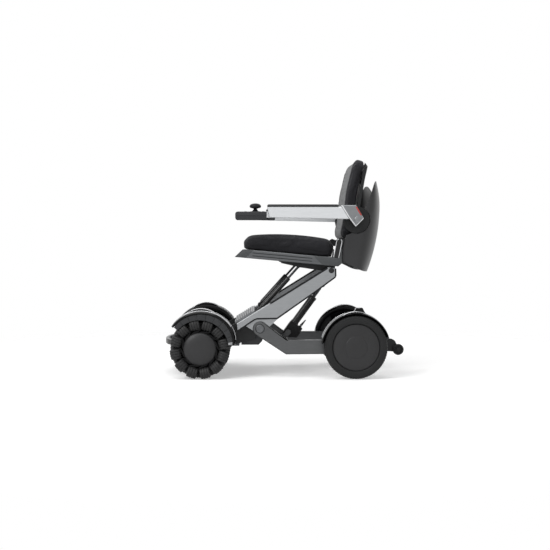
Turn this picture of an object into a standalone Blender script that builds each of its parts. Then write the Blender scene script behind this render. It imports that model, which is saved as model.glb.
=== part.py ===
"""Folding power wheelchair with omni front wheels, hub-motor rear wheels and a powered Z-shaped fold.

The chair faces -X and stands on z = 0. Left is -Y. Sizes are in metres.
"""

from math import acos, atan2, cos, hypot, pi, radians, sin, sqrt, tan

import bmesh
import bpy
from mathutils import Matrix, Vector

# Running gear
WHEELBASE = 0.640
REAR_WHEEL_DIAMETER = 0.260
REAR_TYRE_WIDTH = 0.060
REAR_RIM_DIAMETER = 0.193
REAR_OFFSET = 0.039
REAR_AXLE_X = 0.2895
AXLE_RADIUS = 0.010
FRONT_WHEEL_DIAMETER = 0.248
FRONT_OFFSET = 0.022
FRONT_HUB_DIAMETER = 0.136
STUB_RADIUS = 0.012
ROLLER_DIAMETER = 0.047
ROLLER_LENGTH = 0.043
ROLLERS_PER_ROW = 12
ROLLER_PIN_RADIUS = 0.003
YOKE_WIDTH = 0.004
YOKE_THICKNESS = 0.014
ANTI_TIP_WHEEL_DIAMETER = 0.047
ANTI_TIP_REACH = 0.195
ANTI_TIP_HEIGHT = 0.105
ANTI_TIP_Y = 0.120
ANTI_TIP_WHEEL_WIDTH = 0.018
ANTI_TIP_PIN_RADIUS = 0.004

# Frame
BEAM_WIDTH = 0.030
BEAM_HEIGHT = 0.060
BEAM_BOTTOM = 0.096
FRAME_HALF_WIDTH = 0.235
FOLD_PIVOT = (-0.104, 0.203)
SEAT_PIVOT = (0.1915, 0.444)
BACK_PIVOT = (0.2235, 0.563)
ARMREST_PIVOT = (0.2955, 0.654)
KNUCKLE_RADIUS = 0.030
TONGUE_RADIUS = 0.022
TONGUE_WIDTH = 0.015
FORK_REACH = 0.062
FOLD_PIN_RADIUS = 0.010
SEAT_PIN_RADIUS = 0.008
PLATE = 0.008
HINGE_PLATE = 0.006
BACK_PIN_RADIUS = 0.006
CROSS_TUBE_RADIUS = 0.014
UPPER_TUBE_RADIUS = 0.010
REAR_CROSS_RADIUS = 0.016

# Actuators and struts
ACTUATOR_FOOT = (0.0185, 0.172)
ACTUATOR_HEAD = (0.1685, 0.378)
ACTUATOR_RADIUS = 0.016
ACTUATOR_TUBE = 0.190
ACTUATOR_ROD_RADIUS = 0.008
ACTUATOR_PIN_RADIUS = 0.005
LEVER_PIN_RADIUS = 0.002
STRUT_FOOT = (-0.1025, 0.281)
STRUT_HEAD = (0.0635, 0.466)
STRUT_RADIUS = 0.011
STRUT_TUBE = 0.178
STRUT_ROD_RADIUS = 0.005
STRUT_PIN_RADIUS = 0.004
STRUT_INSET = 0.055
STRUT_EYE_PLAY = 0.0027
ACTUATOR_EYE_PLAY = 0.0036
EYE_WALL = 0.004

# Seat and back
SEAT_TILT = radians(5.26)
SEAT_REAR = (0.2195, 0.4605)
RAIL_LENGTH = 0.430
RAIL_HEIGHT = 0.0345
RAIL_NOSE = 0.030
RAIL_TAIL = 0.010
RAIL_CAP = 0.006
PAN_THICKNESS = 0.008
CUSHION_DEPTH = 0.388
CUSHION_INSET = 0.021
CUSHION_HEIGHT = 0.064
CUSHION_CROWN = 0.003
CUSHION_DRAW = 0.006
BOLSTER_RISE = 0.004
BACK_TILT = radians(13.7)
BACK_LEAN = 0.018
BACK_CUSHION_HEIGHT = 0.350
BACK_CUSHION_INSET = 0.028
BACK_CUSHION_THICKNESS = 0.045
BACK_CUSHION_FOOT = 0.012
BACK_FRAME_DEPTH = 0.016
WING_THICKNESS = 0.004

# Armrests and joystick
ARMREST_LENGTH = 0.302
ARMREST_WIDTH = 0.028
ARMREST_HEIGHT = 0.050
ARMREST_RISE = 0.0075
ARMREST_TOP = 0.7055
ARMREST_PLAY = 0.0125
KNEE_REACH = 0.0685
KNEE_TOP = 0.712
KNEE_FOOT = 0.665
HUB_RADIUS = 0.022
PAD_THICKNESS = 0.010
JOYSTICK_LENGTH = 0.1285
JOYSTICK_WIDTH = 0.050
JOYSTICK_HEIGHT = 0.0345
JOYSTICK_TOP = 0.6856
KNOB_DIAMETER = 0.047
KNOB_HEIGHT = 0.019
STEM_HEIGHT = 0.015
STEM_RADIUS = 0.0055
BUTTON_RADIUS = 0.0055

# Fits
SEAT_GAP = 0.0003
RUNNING_GAP = 0.0010
PIN_PLAY = 0.0003
SIDES = (("left", -1), ("right", 1))

REAR_TRACK = 2 * (FRAME_HALF_WIDTH + REAR_OFFSET)
FRONT_TRACK = 2 * (FRAME_HALF_WIDTH + FRONT_OFFSET)
STRUT_Y = FRAME_HALF_WIDTH - STRUT_INSET
CUSHION_HALF_WIDTH = FRAME_HALF_WIDTH - CUSHION_INSET
BACK_CUSHION_HALF_WIDTH = FRAME_HALF_WIDTH - BACK_CUSHION_INSET
ARMREST_FRONT_X = ARMREST_PIVOT[0] - KNEE_REACH - ARMREST_LENGTH
REAR_AXLE = (REAR_AXLE_X, REAR_WHEEL_DIAMETER / 2)
FRONT_AXLE = (REAR_AXLE_X - WHEELBASE, FRONT_WHEEL_DIAMETER / 2)
INNER_WIDTH = FRAME_HALF_WIDTH - BEAM_WIDTH
LANE_Y = FRAME_HALF_WIDTH - BEAM_WIDTH / 2
BRACKET_Y = INNER_WIDTH - SEAT_GAP - PLATE / 2
ANTI_TIP_AXLE = (REAR_AXLE[0] + ANTI_TIP_REACH, ANTI_TIP_HEIGHT)

MATERIALS = {
    "silver_frame": ((0.42, 0.43, 0.44), 0.38, 1.0),
    "armrest_silver": ((0.62, 0.63, 0.64), 0.30, 1.0),
    "rail_grey": ((0.15, 0.155, 0.16), 0.42, 1.0),
    "black_plastic": ((0.020, 0.020, 0.021), 0.50, 0.0),
    "wing_grey": ((0.055, 0.056, 0.058), 0.48, 0.0),
    "gloss_black": ((0.010, 0.010, 0.011), 0.12, 0.0),
    "hub_grey": ((0.045, 0.046, 0.048), 0.45, 0.0),
    "rubber": ((0.018, 0.018, 0.018), 0.80, 0.0),
    "cushion_fabric": ((0.014, 0.014, 0.015), 0.95, 0.0),
    "steel": ((0.50, 0.50, 0.51), 0.25, 1.0),
    "button_grey": ((0.30, 0.30, 0.31), 0.55, 0.0),
}


def start_clean():
    for old in list(bpy.data.objects):
        bpy.data.objects.remove(old)


def make_collection(name):
    found = bpy.data.collections.new(name)
    bpy.context.scene.collection.children.link(found)
    return found


def make_materials():
    made = {}
    for name, (colour, roughness, metallic) in MATERIALS.items():
        material = bpy.data.materials.new(name)
        material.use_nodes = True
        shader = material.node_tree.nodes["Principled BSDF"]
        shader.inputs["Base Color"].default_value = (*colour, 1.0)
        shader.inputs["Roughness"].default_value = roughness
        shader.inputs["Metallic"].default_value = metallic
        made[name] = material
    return made


start_clean()
PARTS = make_collection("folding_power_wheelchair")
CUTTERS = make_collection("cutters")
FINISH = make_materials()
PIVOTS = {}


def pivot(name, at, parent=None):
    """An empty on a joint axis; the pieces of one moving body hang on it."""
    empty = bpy.data.objects.new("pivot_" + name, None)
    empty.empty_display_size = 0.03
    PARTS.objects.link(empty)
    start = Vector((0, 0, 0))
    if parent:
        empty.parent = PIVOTS[parent][0]
        start = PIVOTS[parent][1]
    empty.location = Vector(at) - start
    PIVOTS[name] = (empty, Vector(at))


def baked(thing):
    """The evaluated shape as a plain closed mesh in world space; the object it came from goes."""
    bpy.context.view_layer.update()
    seen = thing.evaluated_get(bpy.context.evaluated_depsgraph_get())
    mesh = bpy.data.meshes.new_from_object(seen)
    mesh.transform(thing.matrix_world)
    work = bmesh.new()
    work.from_mesh(mesh)
    bmesh.ops.remove_doubles(work, verts=work.verts, dist=1e-6)
    bmesh.ops.dissolve_limit(work, angle_limit=radians(0.3), verts=work.verts, edges=work.edges)
    bmesh.ops.recalc_face_normals(work, faces=work.faces)
    work.to_mesh(mesh)
    work.free()
    result = bpy.data.objects.new(thing.name, mesh)
    bpy.context.scene.collection.objects.link(result)
    bpy.data.objects.remove(thing)
    return result


def plate(points, width, y):
    """A flat outline in the side plane (x, z), extruded evenly to its width about the given y."""
    curve = bpy.data.curves.new("outline", "CURVE")
    curve.dimensions = "2D"
    curve.fill_mode = "BOTH"
    curve.extrude = width / 2
    spline = curve.splines.new("POLY")
    spline.points.add(len(points) - 1)
    spline.use_cyclic_u = True
    for point, (x, z) in zip(spline.points, points):
        point.co = (x, z, 0, 1)
    thing = bpy.data.objects.new("plate", curve)
    bpy.context.scene.collection.objects.link(thing)
    thing.rotation_euler = (pi / 2, 0, 0)
    thing.location = (0, y, 0)
    return baked(thing)


def spun(name, profile, steps):
    """A profile of (radius, height) turned about the upright axis, not yet baked."""
    mesh = bpy.data.meshes.new(name)
    mesh.from_pydata([(r, 0, h) for r, h in profile], [(i, i + 1) for i in range(len(profile) - 1)], [])
    thing = bpy.data.objects.new(name, mesh)
    bpy.context.scene.collection.objects.link(thing)
    screw = thing.modifiers.new("turn", "SCREW")
    screw.steps = steps
    screw.render_steps = steps
    screw.use_merge_vertices = True
    screw.merge_threshold = 0.00001
    return thing


def turned(profile, axis_at, y, outward, steps=32):
    """A profile of (radius, height along the outward axis), turned about a cross axis at (x, z)."""
    thing = spun("turned", profile, steps)
    thing.rotation_euler = (-outward * pi / 2, 0, 0)
    thing.location = (axis_at[0], y, axis_at[1])
    return baked(thing)


def ring(profile, axis_at, y, outward, steps=32):
    """A turned piece with a bore: the profile closes on itself."""
    return turned(profile + [profile[0]], axis_at, y, outward, steps)


def rod(radius, axis_at, y_from, y_to, steps=12):
    """A round bar across the chair."""
    half = abs(y_to - y_from) / 2
    profile = [(0, half), (radius, half), (radius, -half), (0, -half)]
    return turned(profile, axis_at, (y_from + y_to) / 2, 1, steps)


def bore(radius, axis_at, lane, steps=12):
    """A rod that passes through every plate of a beam's lane, to be cut from them."""
    return rod(radius, axis_at, lane - BEAM_WIDTH, lane + BEAM_WIDTH, steps)


def tube_between(start, end, radius, y, steps=12):
    """A round bar in the side plane from one (x, z) point to another."""
    length = hypot(end[0] - start[0], end[1] - start[1])
    mesh = bpy.data.meshes.new("bar")
    work = bmesh.new()
    bmesh.ops.create_cone(
        work, cap_ends=True, segments=steps, radius1=radius, radius2=radius, depth=length
    )
    work.to_mesh(mesh)
    work.free()
    thing = bpy.data.objects.new("bar", mesh)
    bpy.context.scene.collection.objects.link(thing)
    lean = atan2(end[0] - start[0], end[1] - start[1])
    thing.rotation_euler = (0, lean, 0)
    thing.location = ((start[0] + end[0]) / 2, y, (start[1] + end[1]) / 2)
    return baked(thing)


def block(x_range, y_range, z_range):
    mesh = bpy.data.meshes.new("block")
    work = bmesh.new()
    bmesh.ops.create_cube(work, size=1)
    work.to_mesh(mesh)
    work.free()
    thing = bpy.data.objects.new("block", mesh)
    bpy.context.scene.collection.objects.link(thing)
    sizes = [high - low for low, high in (x_range, y_range, z_range)]
    middle = [(low + high) / 2 for low, high in (x_range, y_range, z_range)]
    mesh.transform(Matrix.Translation(middle) @ Matrix.Diagonal((*sizes, 1)))
    return thing


def bevel(thing, width, segments=2, angle=35):
    """Rounds the edges sharper than the angle, and bakes the result."""
    modifier = thing.modifiers.new("round", "BEVEL")
    modifier.width = width
    modifier.segments = segments
    modifier.limit_method = "ANGLE"
    modifier.angle_limit = radians(angle)
    return baked(thing)


def boolean(thing, other, operation):
    modifier = thing.modifiers.new(operation.lower(), "BOOLEAN")
    modifier.object = other
    modifier.operation = operation
    modifier.solver = "EXACT"
    return modifier


def cut(thing, *others):
    """Cuts shapes out of the piece; they stay in the cutters' collection."""
    for other in others:
        boolean(thing, other, "DIFFERENCE")
        shelve(other)
    return thing


def fuse(thing, *others):
    """Joins shapes into the piece; they stay in the cutters' collection."""
    for other in others:
        boolean(thing, other, "UNION")
        shelve(other)
    return thing


def shelve(other):
    for collection in list(other.users_collection):
        collection.objects.unlink(other)
    CUTTERS.objects.link(other)
    other.name = "shape_%03d" % len(CUTTERS.objects)
    other.hide_render = True
    other.display_type = "WIRE"


def gathered(*things):
    """Several separate shapes as one mesh, to be joined to a piece or cut from it together."""
    solids = [baked(thing) for thing in things]
    work = bmesh.new()
    for solid in solids:
        work.from_mesh(solid.data)
    first = solids[0]
    work.to_mesh(first.data)
    work.free()
    for solid in solids[1:]:
        bpy.data.objects.remove(solid)
    return first


def settle(thing, name, finish, body):
    """Names a piece, gives it its material and hangs it on its body's pivot."""
    empty, at = PIVOTS[body]
    for collection in list(thing.users_collection):
        collection.objects.unlink(thing)
    PARTS.objects.link(thing)
    thing.name = name
    thing.data.name = name
    thing.data.materials.clear()
    thing.data.materials.append(FINISH[finish])
    thing.data.transform(Matrix.Translation(-at))
    thing.parent = empty
    thing.data.shade_smooth()
    thing.data.set_sharp_from_angle(angle=radians(35))
    return thing


def arc(centre, radius, start, end, steps=6):
    """Points on an arc, angles in degrees, counter-clockwise when end is greater."""
    turn = [radians(start + (end - start) * i / steps) for i in range(steps + 1)]
    return [(centre[0] + radius * cos(a), centre[1] + radius * sin(a)) for a in turn]


def shift(at, dx, dz):
    return (at[0] + dx, at[1] + dz)


def tangent_angle(centre, radius, point, side):
    """Where a line from the point touches the circle; side +1 is counter-clockwise of the point."""
    dx, dz = point[0] - centre[0], point[1] - centre[1]
    return atan2(dz, dx) + side * acos(radius / hypot(dx, dz))


def hull(*circles, steps=12):
    """The convex outline round circles given as (centre, radius); a radius of 0 is a corner."""
    points = []
    for centre, radius in circles:
        if radius == 0:
            points.append(centre)
        else:
            points += arc(centre, radius, 0, 360 - 360 / steps, steps - 1)
    points = sorted(set(points))
    chains = []
    for run in (points, points[::-1]):
        chain = []
        for point in run:
            while len(chain) > 1 and turn_of(chain[-2], chain[-1], point) <= 1e-12:
                chain.pop()
            chain.append(point)
        chains.append(chain[:-1])
    return chains[0] + chains[1]


def turn_of(a, b, c):
    return (b[0] - a[0]) * (c[1] - a[1]) - (b[1] - a[1]) * (c[0] - a[0])


def rounded(points, radius, steps=3):
    """The outline with its corners turned into arcs, less where a side is short."""
    result = []
    count = len(points)
    for i, here in enumerate(points):
        before = Vector(points[i - 1])
        here = Vector(here)
        after = Vector(points[(i + 1) % count])
        back, ahead = before - here, after - here
        corner = back.angle(ahead)
        reach = min(radius / tan(corner / 2), 0.45 * back.length, 0.45 * ahead.length)
        start = here + back.normalized() * reach
        end = here + ahead.normalized() * reach
        for k in range(steps + 1):
            t = k / steps
            point = start * (1 - t) ** 2 + here * 2 * t * (1 - t) + end * t ** 2
            result.append((point.x, point.y))
    return result


def seat_at(s, n):
    """A point on the seat's own axes: s forward from the rails' rear foot, n above their bottom."""
    x = SEAT_REAR[0] - s * cos(SEAT_TILT) + n * sin(SEAT_TILT)
    return (x, SEAT_REAR[1] + s * sin(SEAT_TILT) + n * cos(SEAT_TILT))


def back_at(t, m):
    """A point on the backrest's own axes: t up from its pivot, m rearward; its upper part leans in."""
    rise = min(max((t - 0.06) / 0.18, 0), 1)
    m -= BACK_LEAN * rise * rise * (3 - 2 * rise)
    x = BACK_PIVOT[0] + t * sin(BACK_TILT) + m * cos(BACK_TILT)
    return (x, BACK_PIVOT[1] + t * cos(BACK_TILT) - m * sin(BACK_TILT))


def along(start, end, distance, offset=0.0):
    """A point at a distance along a line, set off to its left."""
    dx, dz = end[0] - start[0], end[1] - start[1]
    length = hypot(dx, dz)
    ux, uz = dx / length, dz / length
    return (start[0] + ux * distance - uz * offset, start[1] + uz * distance + ux * offset)


def place(point, y):
    return (point[0], y, point[1])


def make_pivots():
    rear_y = REAR_TRACK / 2
    front_y = FRONT_TRACK / 2
    pivot("base", (0, 0, 0))
    pivot("arm", place(FOLD_PIVOT, 0), "base")
    pivot("seat", place(SEAT_PIVOT, 0), "arm")
    pivot("back", place(BACK_PIVOT, 0), "seat")
    pivot("rear_actuator", place(ACTUATOR_FOOT, 0), "base")
    for side, sign in SIDES:
        pivot("rear_wheel_" + side, place(REAR_AXLE, sign * rear_y), "base")
        pivot("front_wheel_" + side, place(FRONT_AXLE, sign * front_y), "arm")
        pivot("anti_tip_" + side, place(ANTI_TIP_AXLE, sign * ANTI_TIP_Y), "base")
        pivot("armrest_" + side, place(ARMREST_PIVOT, sign * armrest_lane()), "back")
        pivot("strut_" + side, place(STRUT_FOOT, sign * STRUT_Y), "arm")
        pivot("strut_rod_" + side, place(STRUT_HEAD, sign * STRUT_Y), "strut_" + side)


def base_beam(side, sign):
    """Silver side beam: forked knuckle at the fold pivot, a slope down, then level to the axle."""
    low = (FOLD_PIVOT[0] + 0.1075, BEAM_BOTTOM)
    high = (low[0] + 0.005, BEAM_BOTTOM + BEAM_HEIGHT)
    tail = REAR_AXLE[0] + 0.062
    first = tangent_angle(FOLD_PIVOT, KNUCKLE_RADIUS, high, 1)
    last = tangent_angle(FOLD_PIVOT, KNUCKLE_RADIUS, low, -1) + 2 * pi
    ends = rounded([(tail, BEAM_BOTTOM), (tail, BEAM_BOTTOM + BEAM_HEIGHT), high], 0.012)[:8]
    turns = arc(FOLD_PIVOT, KNUCKLE_RADIUS, first * 180 / pi, last * 180 / pi, 11)
    beam = bevel(plate([low] + ends + [high] + turns, BEAM_WIDTH, sign * LANE_Y), 0.0025, 1)
    slot = TONGUE_WIDTH + 2 * RUNNING_GAP
    cut(
        beam,
        rod(FORK_REACH, FOLD_PIVOT, sign * LANE_Y - slot / 2, sign * LANE_Y + slot / 2, 16),
        bore(FOLD_PIN_RADIUS + PIN_PLAY, FOLD_PIVOT, sign * LANE_Y, 14),
    )
    fuse(beam, rear_axle(sign))
    settle(beam, "base_beam_" + side, "silver_frame", "base")


def front_crossmember():
    """Cross block between the base beams, with the lugs and the pin of the actuator's foot."""
    reach = INNER_WIDTH - SEAT_GAP
    foot_x = ACTUATOR_FOOT[0]
    cross = bevel(block((foot_x - 0.034, foot_x - 0.002), (-reach, reach), (0.112, 0.144)), 0.003, 1)
    fuse(cross, rod(ACTUATOR_PIN_RADIUS, ACTUATOR_FOOT, -0.034, 0.034))
    for sign in (-1, 1):
        lug = hull((ACTUATOR_FOOT, 0.012), (shift(ACTUATOR_FOOT, -0.026, -0.032), 0.006))
        fuse(cross, plate(lug, 0.007, sign * 0.0315))
    settle(cross, "front_crossmember", "silver_frame", "base")


def rear_cross():
    return (REAR_AXLE[0] + 0.042, BEAM_BOTTOM + BEAM_HEIGHT / 2)


def rear_axle(sign):
    """Fixed motor axle: a torque flange against the beam's outer face, a nut inside."""
    outer = FRAME_HALF_WIDTH + 0.0031
    end = REAR_TRACK / 2 - 0.012
    profile = [
        (0, end),
        (AXLE_RADIUS, end),
        (AXLE_RADIUS, outer + 0.0034),
        (0.024, outer + 0.0034),
        (0.024, outer),
        (AXLE_RADIUS, outer),
        (AXLE_RADIUS, INNER_WIDTH - 0.0003),
        (0.017, INNER_WIDTH - 0.0003),
        (0.017, INNER_WIDTH - 0.008),
        (0, INNER_WIDTH - 0.008),
    ]
    return turned(profile, REAR_AXLE, 0, sign, 12)


def rear_wheel(side, sign):
    """Hub-motor drum closed by a shallow dished cover, with the tyre on its rim."""
    half = REAR_TYRE_WIDTH / 2
    rim = REAR_RIM_DIAMETER / 2
    inner = half + 0.0005
    drum = turned(
        [
            (0, half - 0.0010),
            (0.044, half - 0.0022),
            (0.0465, half - 0.0036),
            (rim - 0.009, half - 0.0050),
            (rim - 0.002, half - 0.0080),
            (rim, half - 0.0110),
            (rim, -half + 0.010),
            (rim - 0.012, -half + 0.003),
            (0.050, -inner),
            (0.026, -inner),
            (0.026, -half + 0.006),
            (AXLE_RADIUS + PIN_PLAY, -half + 0.006),
            (AXLE_RADIUS + PIN_PLAY, -0.011),
            (0, -0.011),
        ],
        REAR_AXLE,
        sign * REAR_TRACK / 2,
        sign,
        24,
    )
    settle(drum, "rear_wheel_" + side, "hub_grey", "rear_wheel_" + side)
    out = REAR_WHEEL_DIAMETER / 2
    seat = rim + SEAT_GAP
    deep = out - seat
    face = [
        (seat, half - 0.006),
        (seat + 0.30 * deep, half),
        (out - 0.008, half - 0.003),
        (out, half - 0.015),
    ]
    mirrored = [(r, -h) for r, h in reversed(face)]
    tyre = ring(face + mirrored, REAR_AXLE, sign * REAR_TRACK / 2, sign, 24)
    settle(tyre, "rear_tyre_" + side, "rubber", "rear_wheel_" + side)


def arch(section, centre, spans, start, end, steps, thickness):
    """A mudguard: a cross-section of (y, radial offset) swept round an elliptical arch, then thickened."""
    mesh = bpy.data.meshes.new("arch")
    rows = []
    for i in range(steps + 1):
        a = radians(start + (end - start) * i / steps)
        rows.append(
            [
                (
                    centre[0] + (spans[0] + lift) * cos(a),
                    y,
                    centre[1] + (spans[1] + lift) * sin(a),
                )
                for y, lift in section
            ]
        )
    wide = len(section)
    faces = [
        (i * wide + k, i * wide + k + 1, (i + 1) * wide + k + 1, (i + 1) * wide + k)
        for i in range(steps)
        for k in range(wide - 1)
    ]
    mesh.from_pydata([point for row in rows for point in row], [], faces)
    thing = bpy.data.objects.new("arch", mesh)
    bpy.context.scene.collection.objects.link(thing)
    solid = thing.modifiers.new("wall", "SOLIDIFY")
    solid.thickness = thickness
    solid.offset = 0
    solid.use_even_offset = True
    return baked(thing)


def crown(centre, spans, middle, half_turn, lift, steps=10):
    """The outline of a flat lens that lies along a guard's arch and rises a little in its middle."""
    upper, lower = [], []
    for i in range(steps + 1):
        share = -1 + 2 * i / steps
        a = radians(middle + half_turn * share)
        rise = lift * cos(share * pi / 2) + 0.0006
        upper.append(shift(centre, (spans[0] + rise) * cos(a), (spans[1] + rise) * sin(a)))
        lower.append(shift(centre, (spans[0] - 0.0006) * cos(a), (spans[1] - 0.0006) * sin(a)))
    return upper + lower[::-1]


def rear_fender(side, sign):
    """Close-fitting guard with a stay plate on the beam and a flat lens at its top; a block on the left."""
    tyre = REAR_WHEEL_DIAMETER / 2
    inside = FRAME_HALF_WIDTH + 0.0016
    section = [
        (sign * inside, tyre - 0.0105),
        (sign * inside, tyre + 0.0050),
        (sign * (inside + 0.004), tyre + 0.0098),
        (sign * (inside + 0.048), tyre + 0.0105),
        (sign * (inside + 0.058), tyre + 0.0080),
    ]
    guard = arch(section, REAR_AXLE, (0, 0), 16, 174, 16, 0.0022)
    stay = plate(
        hull((REAR_AXLE, 0.034), *[(p, 0.0) for p in arc(REAR_AXLE, tyre - 0.005, 55, 125, 6)], steps=20),
        0.0022,
        sign * inside,
    )
    cut(stay, bore(AXLE_RADIUS + PIN_PLAY, REAR_AXLE, sign * inside))
    stay = baked(stay)
    top = tyre + 0.010
    lens = crown(REAR_AXLE, (top, top), 90, 26, 0.0052)
    fuse(guard, stay, plate(lens, 0.042, sign * (inside + 0.026)))
    if side == "left":
        port = [shift(REAR_AXLE, 0.038, top), shift(REAR_AXLE, 0.0265, top + 0.022),
                shift(REAR_AXLE, 0.0015, top + 0.022), shift(REAR_AXLE, -0.010, top)]
        fuse(guard, bevel(plate(port, 0.034, sign * (inside + 0.026)), 0.002, 1))
    settle(guard, "rear_fender_" + side, "gloss_black", "base")


def rear_crossmember():
    """Rear cross tube with the two trailing anti-tip arms and their stub axles welded on."""
    reach = INNER_WIDTH - SEAT_GAP
    tube = rod(REAR_CROSS_RADIUS, rear_cross(), -reach, reach, 12)
    inner = ANTI_TIP_Y - ANTI_TIP_WHEEL_WIDTH / 2 - RUNNING_GAP
    end = ANTI_TIP_Y + ANTI_TIP_WHEEL_WIDTH / 2 + RUNNING_GAP
    for sign in (-1, 1):
        y = sign * (inner - PLATE / 2)
        arm = plate(hull((rear_cross(), 0.024), (shift(ANTI_TIP_AXLE, -0.012, 0.006), 0.016)), PLATE, y)
        nose = plate(
            hull((ANTI_TIP_AXLE, 0.011), (shift(ANTI_TIP_AXLE, -0.033, 0.029), 0.017)), 0.9 * PLATE, y
        )
        profile = [
            (0, end + 0.003),
            (0.007, end + 0.003),
            (0.007, end),
            (ANTI_TIP_PIN_RADIUS, end),
            (ANTI_TIP_PIN_RADIUS, inner - PLATE - 0.003),
            (0, inner - PLATE - 0.003),
        ]
        fuse(tube, arm, nose, turned(profile, ANTI_TIP_AXLE, 0, sign, 8))
    settle(tube, "rear_crossmember", "black_plastic", "base")


def anti_tip_wheel(side, sign):
    """Small solid castor tyre on its stub axle."""
    radius = ANTI_TIP_WHEEL_DIAMETER / 2
    half = ANTI_TIP_WHEEL_WIDTH / 2
    bore = ANTI_TIP_PIN_RADIUS + PIN_PLAY
    face = [
        (bore, half),
        (0.010, half),
        (0.013, half - 0.003),
        (radius - 0.006, half - 0.001),
        (radius, half - 0.006),
    ]
    mirrored = [(r, -h) for r, h in reversed(face)]
    wheel = ring(face + mirrored, ANTI_TIP_AXLE, sign * ANTI_TIP_Y, sign, 14)
    settle(wheel, "anti_tip_wheel_" + side, "rubber", "anti_tip_" + side)


def rear_actuator():
    """Linear actuator between the base and the arms: motor, tube, rod and manual release lever."""
    foot, head = ACTUATOR_FOOT, ACTUATOR_HEAD
    length = hypot(head[0] - foot[0], head[1] - foot[1])

    def at(u, v=0.0):
        return along(foot, head, u, v)

    body = tube_between(at(0.005), at(ACTUATOR_TUBE), ACTUATOR_RADIUS, 0, 16)
    outline = [at(-0.016, 0.018), at(-0.016, -0.018), at(0.004, -0.046), at(0.026, -0.046),
               at(0.048, -0.018), at(0.048, 0.018)]
    gear = bevel(plate(outline, 0.046, 0), 0.004, 1)
    motor = tube_between(at(0.010, -0.030), at(0.048, -0.030), 0.0145, 0, 14)
    hub = at(0.0555, -0.030)
    fuse(body, gear, motor, rod(LEVER_PIN_RADIUS, hub, -0.0055, 0.0055, 8))
    for y in (-0.0045, 0.0045):
        fuse(body, plate(hull((hub, 0.0045), (at(0.044, -0.030), 0.0055), steps=8), 0.003, y))
    bore = ACTUATOR_ROD_RADIUS + PIN_PLAY
    cut(
        body,
        tube_between(at(0.030), at(ACTUATOR_TUBE + 0.02), bore, 0),
        rod(ACTUATOR_PIN_RADIUS + PIN_PLAY, foot, -0.05, 0.05),
    )
    settle(body, "rear_actuator_tube", "black_plastic", "rear_actuator")
    shaft = tube_between(at(0.085), at(length - 0.010), ACTUATOR_ROD_RADIUS, 0)
    eye = ACTUATOR_PIN_RADIUS + ACTUATOR_EYE_PLAY
    fuse(shaft, rod(eye + EYE_WALL, head, -0.0085, 0.0085, 16))
    cut(shaft, rod(eye, head, -0.02, 0.02, 16))
    pivot("rear_rod", place(head, 0), "rear_actuator")
    settle(shaft, "rear_actuator_rod", "steel", "rear_rod")
    pivot("release_lever", place(hub, 0), "rear_actuator")
    tip = along(hub, at(0.090, -0.033), 0.030)
    lever = plate(hull((hub, 0.0055), (tip, 0.002), steps=12), 0.004, 0)
    cut(lever, rod(LEVER_PIN_RADIUS + PIN_PLAY, hub, -0.01, 0.01, 12))
    settle(lever, "release_lever", "steel", "release_lever")


def main_arm(side, sign):
    """Silver main arm from the front axle to the seat pivot, with the tongue of the fold joint."""
    fold, seat = FOLD_PIVOT, SEAT_PIVOT
    outline = [
        shift(fold, -0.0974, 0.0203),
        shift(fold, -0.0944, -0.0137),
        shift(fold, -0.0164, 0.0383),
        shift(fold, 0.0726, 0.0403),
        shift(seat, -0.064, -0.089),
        shift(seat, 0.017, -0.030),
        shift(seat, 0.021, -0.022),
        shift(seat, 0.020, 0.009),
        shift(seat, -0.013, 0.014),
    ]
    arm = bevel(plate(rounded(outline, 0.004, 2), BEAM_WIDTH, sign * LANE_Y), 0.0025, 1)
    tongue = plate(
        hull((fold, TONGUE_RADIUS), (shift(fold, -0.014, 0.046), 0), (shift(fold, 0.0745, 0.0415), 0),
             (shift(fold, -0.058, 0.0100), 0)),
        TONGUE_WIDTH,
        sign * LANE_Y,
    )
    fuse(arm, tongue)
    cut(
        arm,
        bore(FOLD_PIN_RADIUS + PIN_PLAY, fold, sign * LANE_Y, 14),
        bore(SEAT_PIN_RADIUS + PIN_PLAY, seat, sign * LANE_Y),
    )
    settle(arm, "main_arm_" + side, "silver_frame", "arm")


def fold_pin(side, sign):
    """Fold pivot pin with a round cap outside the beam and a collar inside."""
    out = FRAME_HALF_WIDTH + SEAT_GAP
    inside = INNER_WIDTH - SEAT_GAP
    profile = [
        (0, out + 0.0037),
        (0.0145, out + 0.0037),
        (0.0170, out + 0.0017),
        (0.0170, out),
        (FOLD_PIN_RADIUS, out),
        (FOLD_PIN_RADIUS, inside),
        (0.015, inside),
        (0.015, inside - 0.0057),
        (0, inside - 0.0057),
    ]
    settle(turned(profile, FOLD_PIVOT, 0, sign, 14), "fold_pin_" + side, "rail_grey", "base")


def arm_front_cross():
    return shift(FOLD_PIVOT, 0.0100, 0.0490)


def arm_rear_cross():
    return shift(SEAT_PIVOT, -0.0120, -0.0360)


def arm_crossmembers():
    """Cross tubes between the main arms, with lugs for the struts and for the actuator's head."""
    reach = INNER_WIDTH - SEAT_GAP
    front = rod(CROSS_TUBE_RADIUS, arm_front_cross(), -reach, reach, 16)
    rear = rod(UPPER_TUBE_RADIUS, arm_rear_cross(), -reach, reach, 14)
    for sign in (-1, 1):
        lug = plate(hull((STRUT_FOOT, 0.010), (arm_front_cross(), 0.011)), 0.0045, sign * strut_lug_y())
        pin = rod(STRUT_PIN_RADIUS, STRUT_FOOT, sign * (STRUT_Y - 0.009), sign * strut_lug_y(), 8)
        fuse(front, lug, pin)
        ear = plate(hull((ACTUATOR_HEAD, 0.010), (arm_rear_cross(), 0.012)), 0.006, sign * 0.0125)
        fuse(rear, ear)
    fuse(rear, rod(ACTUATOR_PIN_RADIUS, ACTUATOR_HEAD, -0.014, 0.014))
    settle(front, "arm_front_crossmember", "rail_grey", "arm")
    settle(rear, "arm_rear_crossmember", "rail_grey", "arm")


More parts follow.
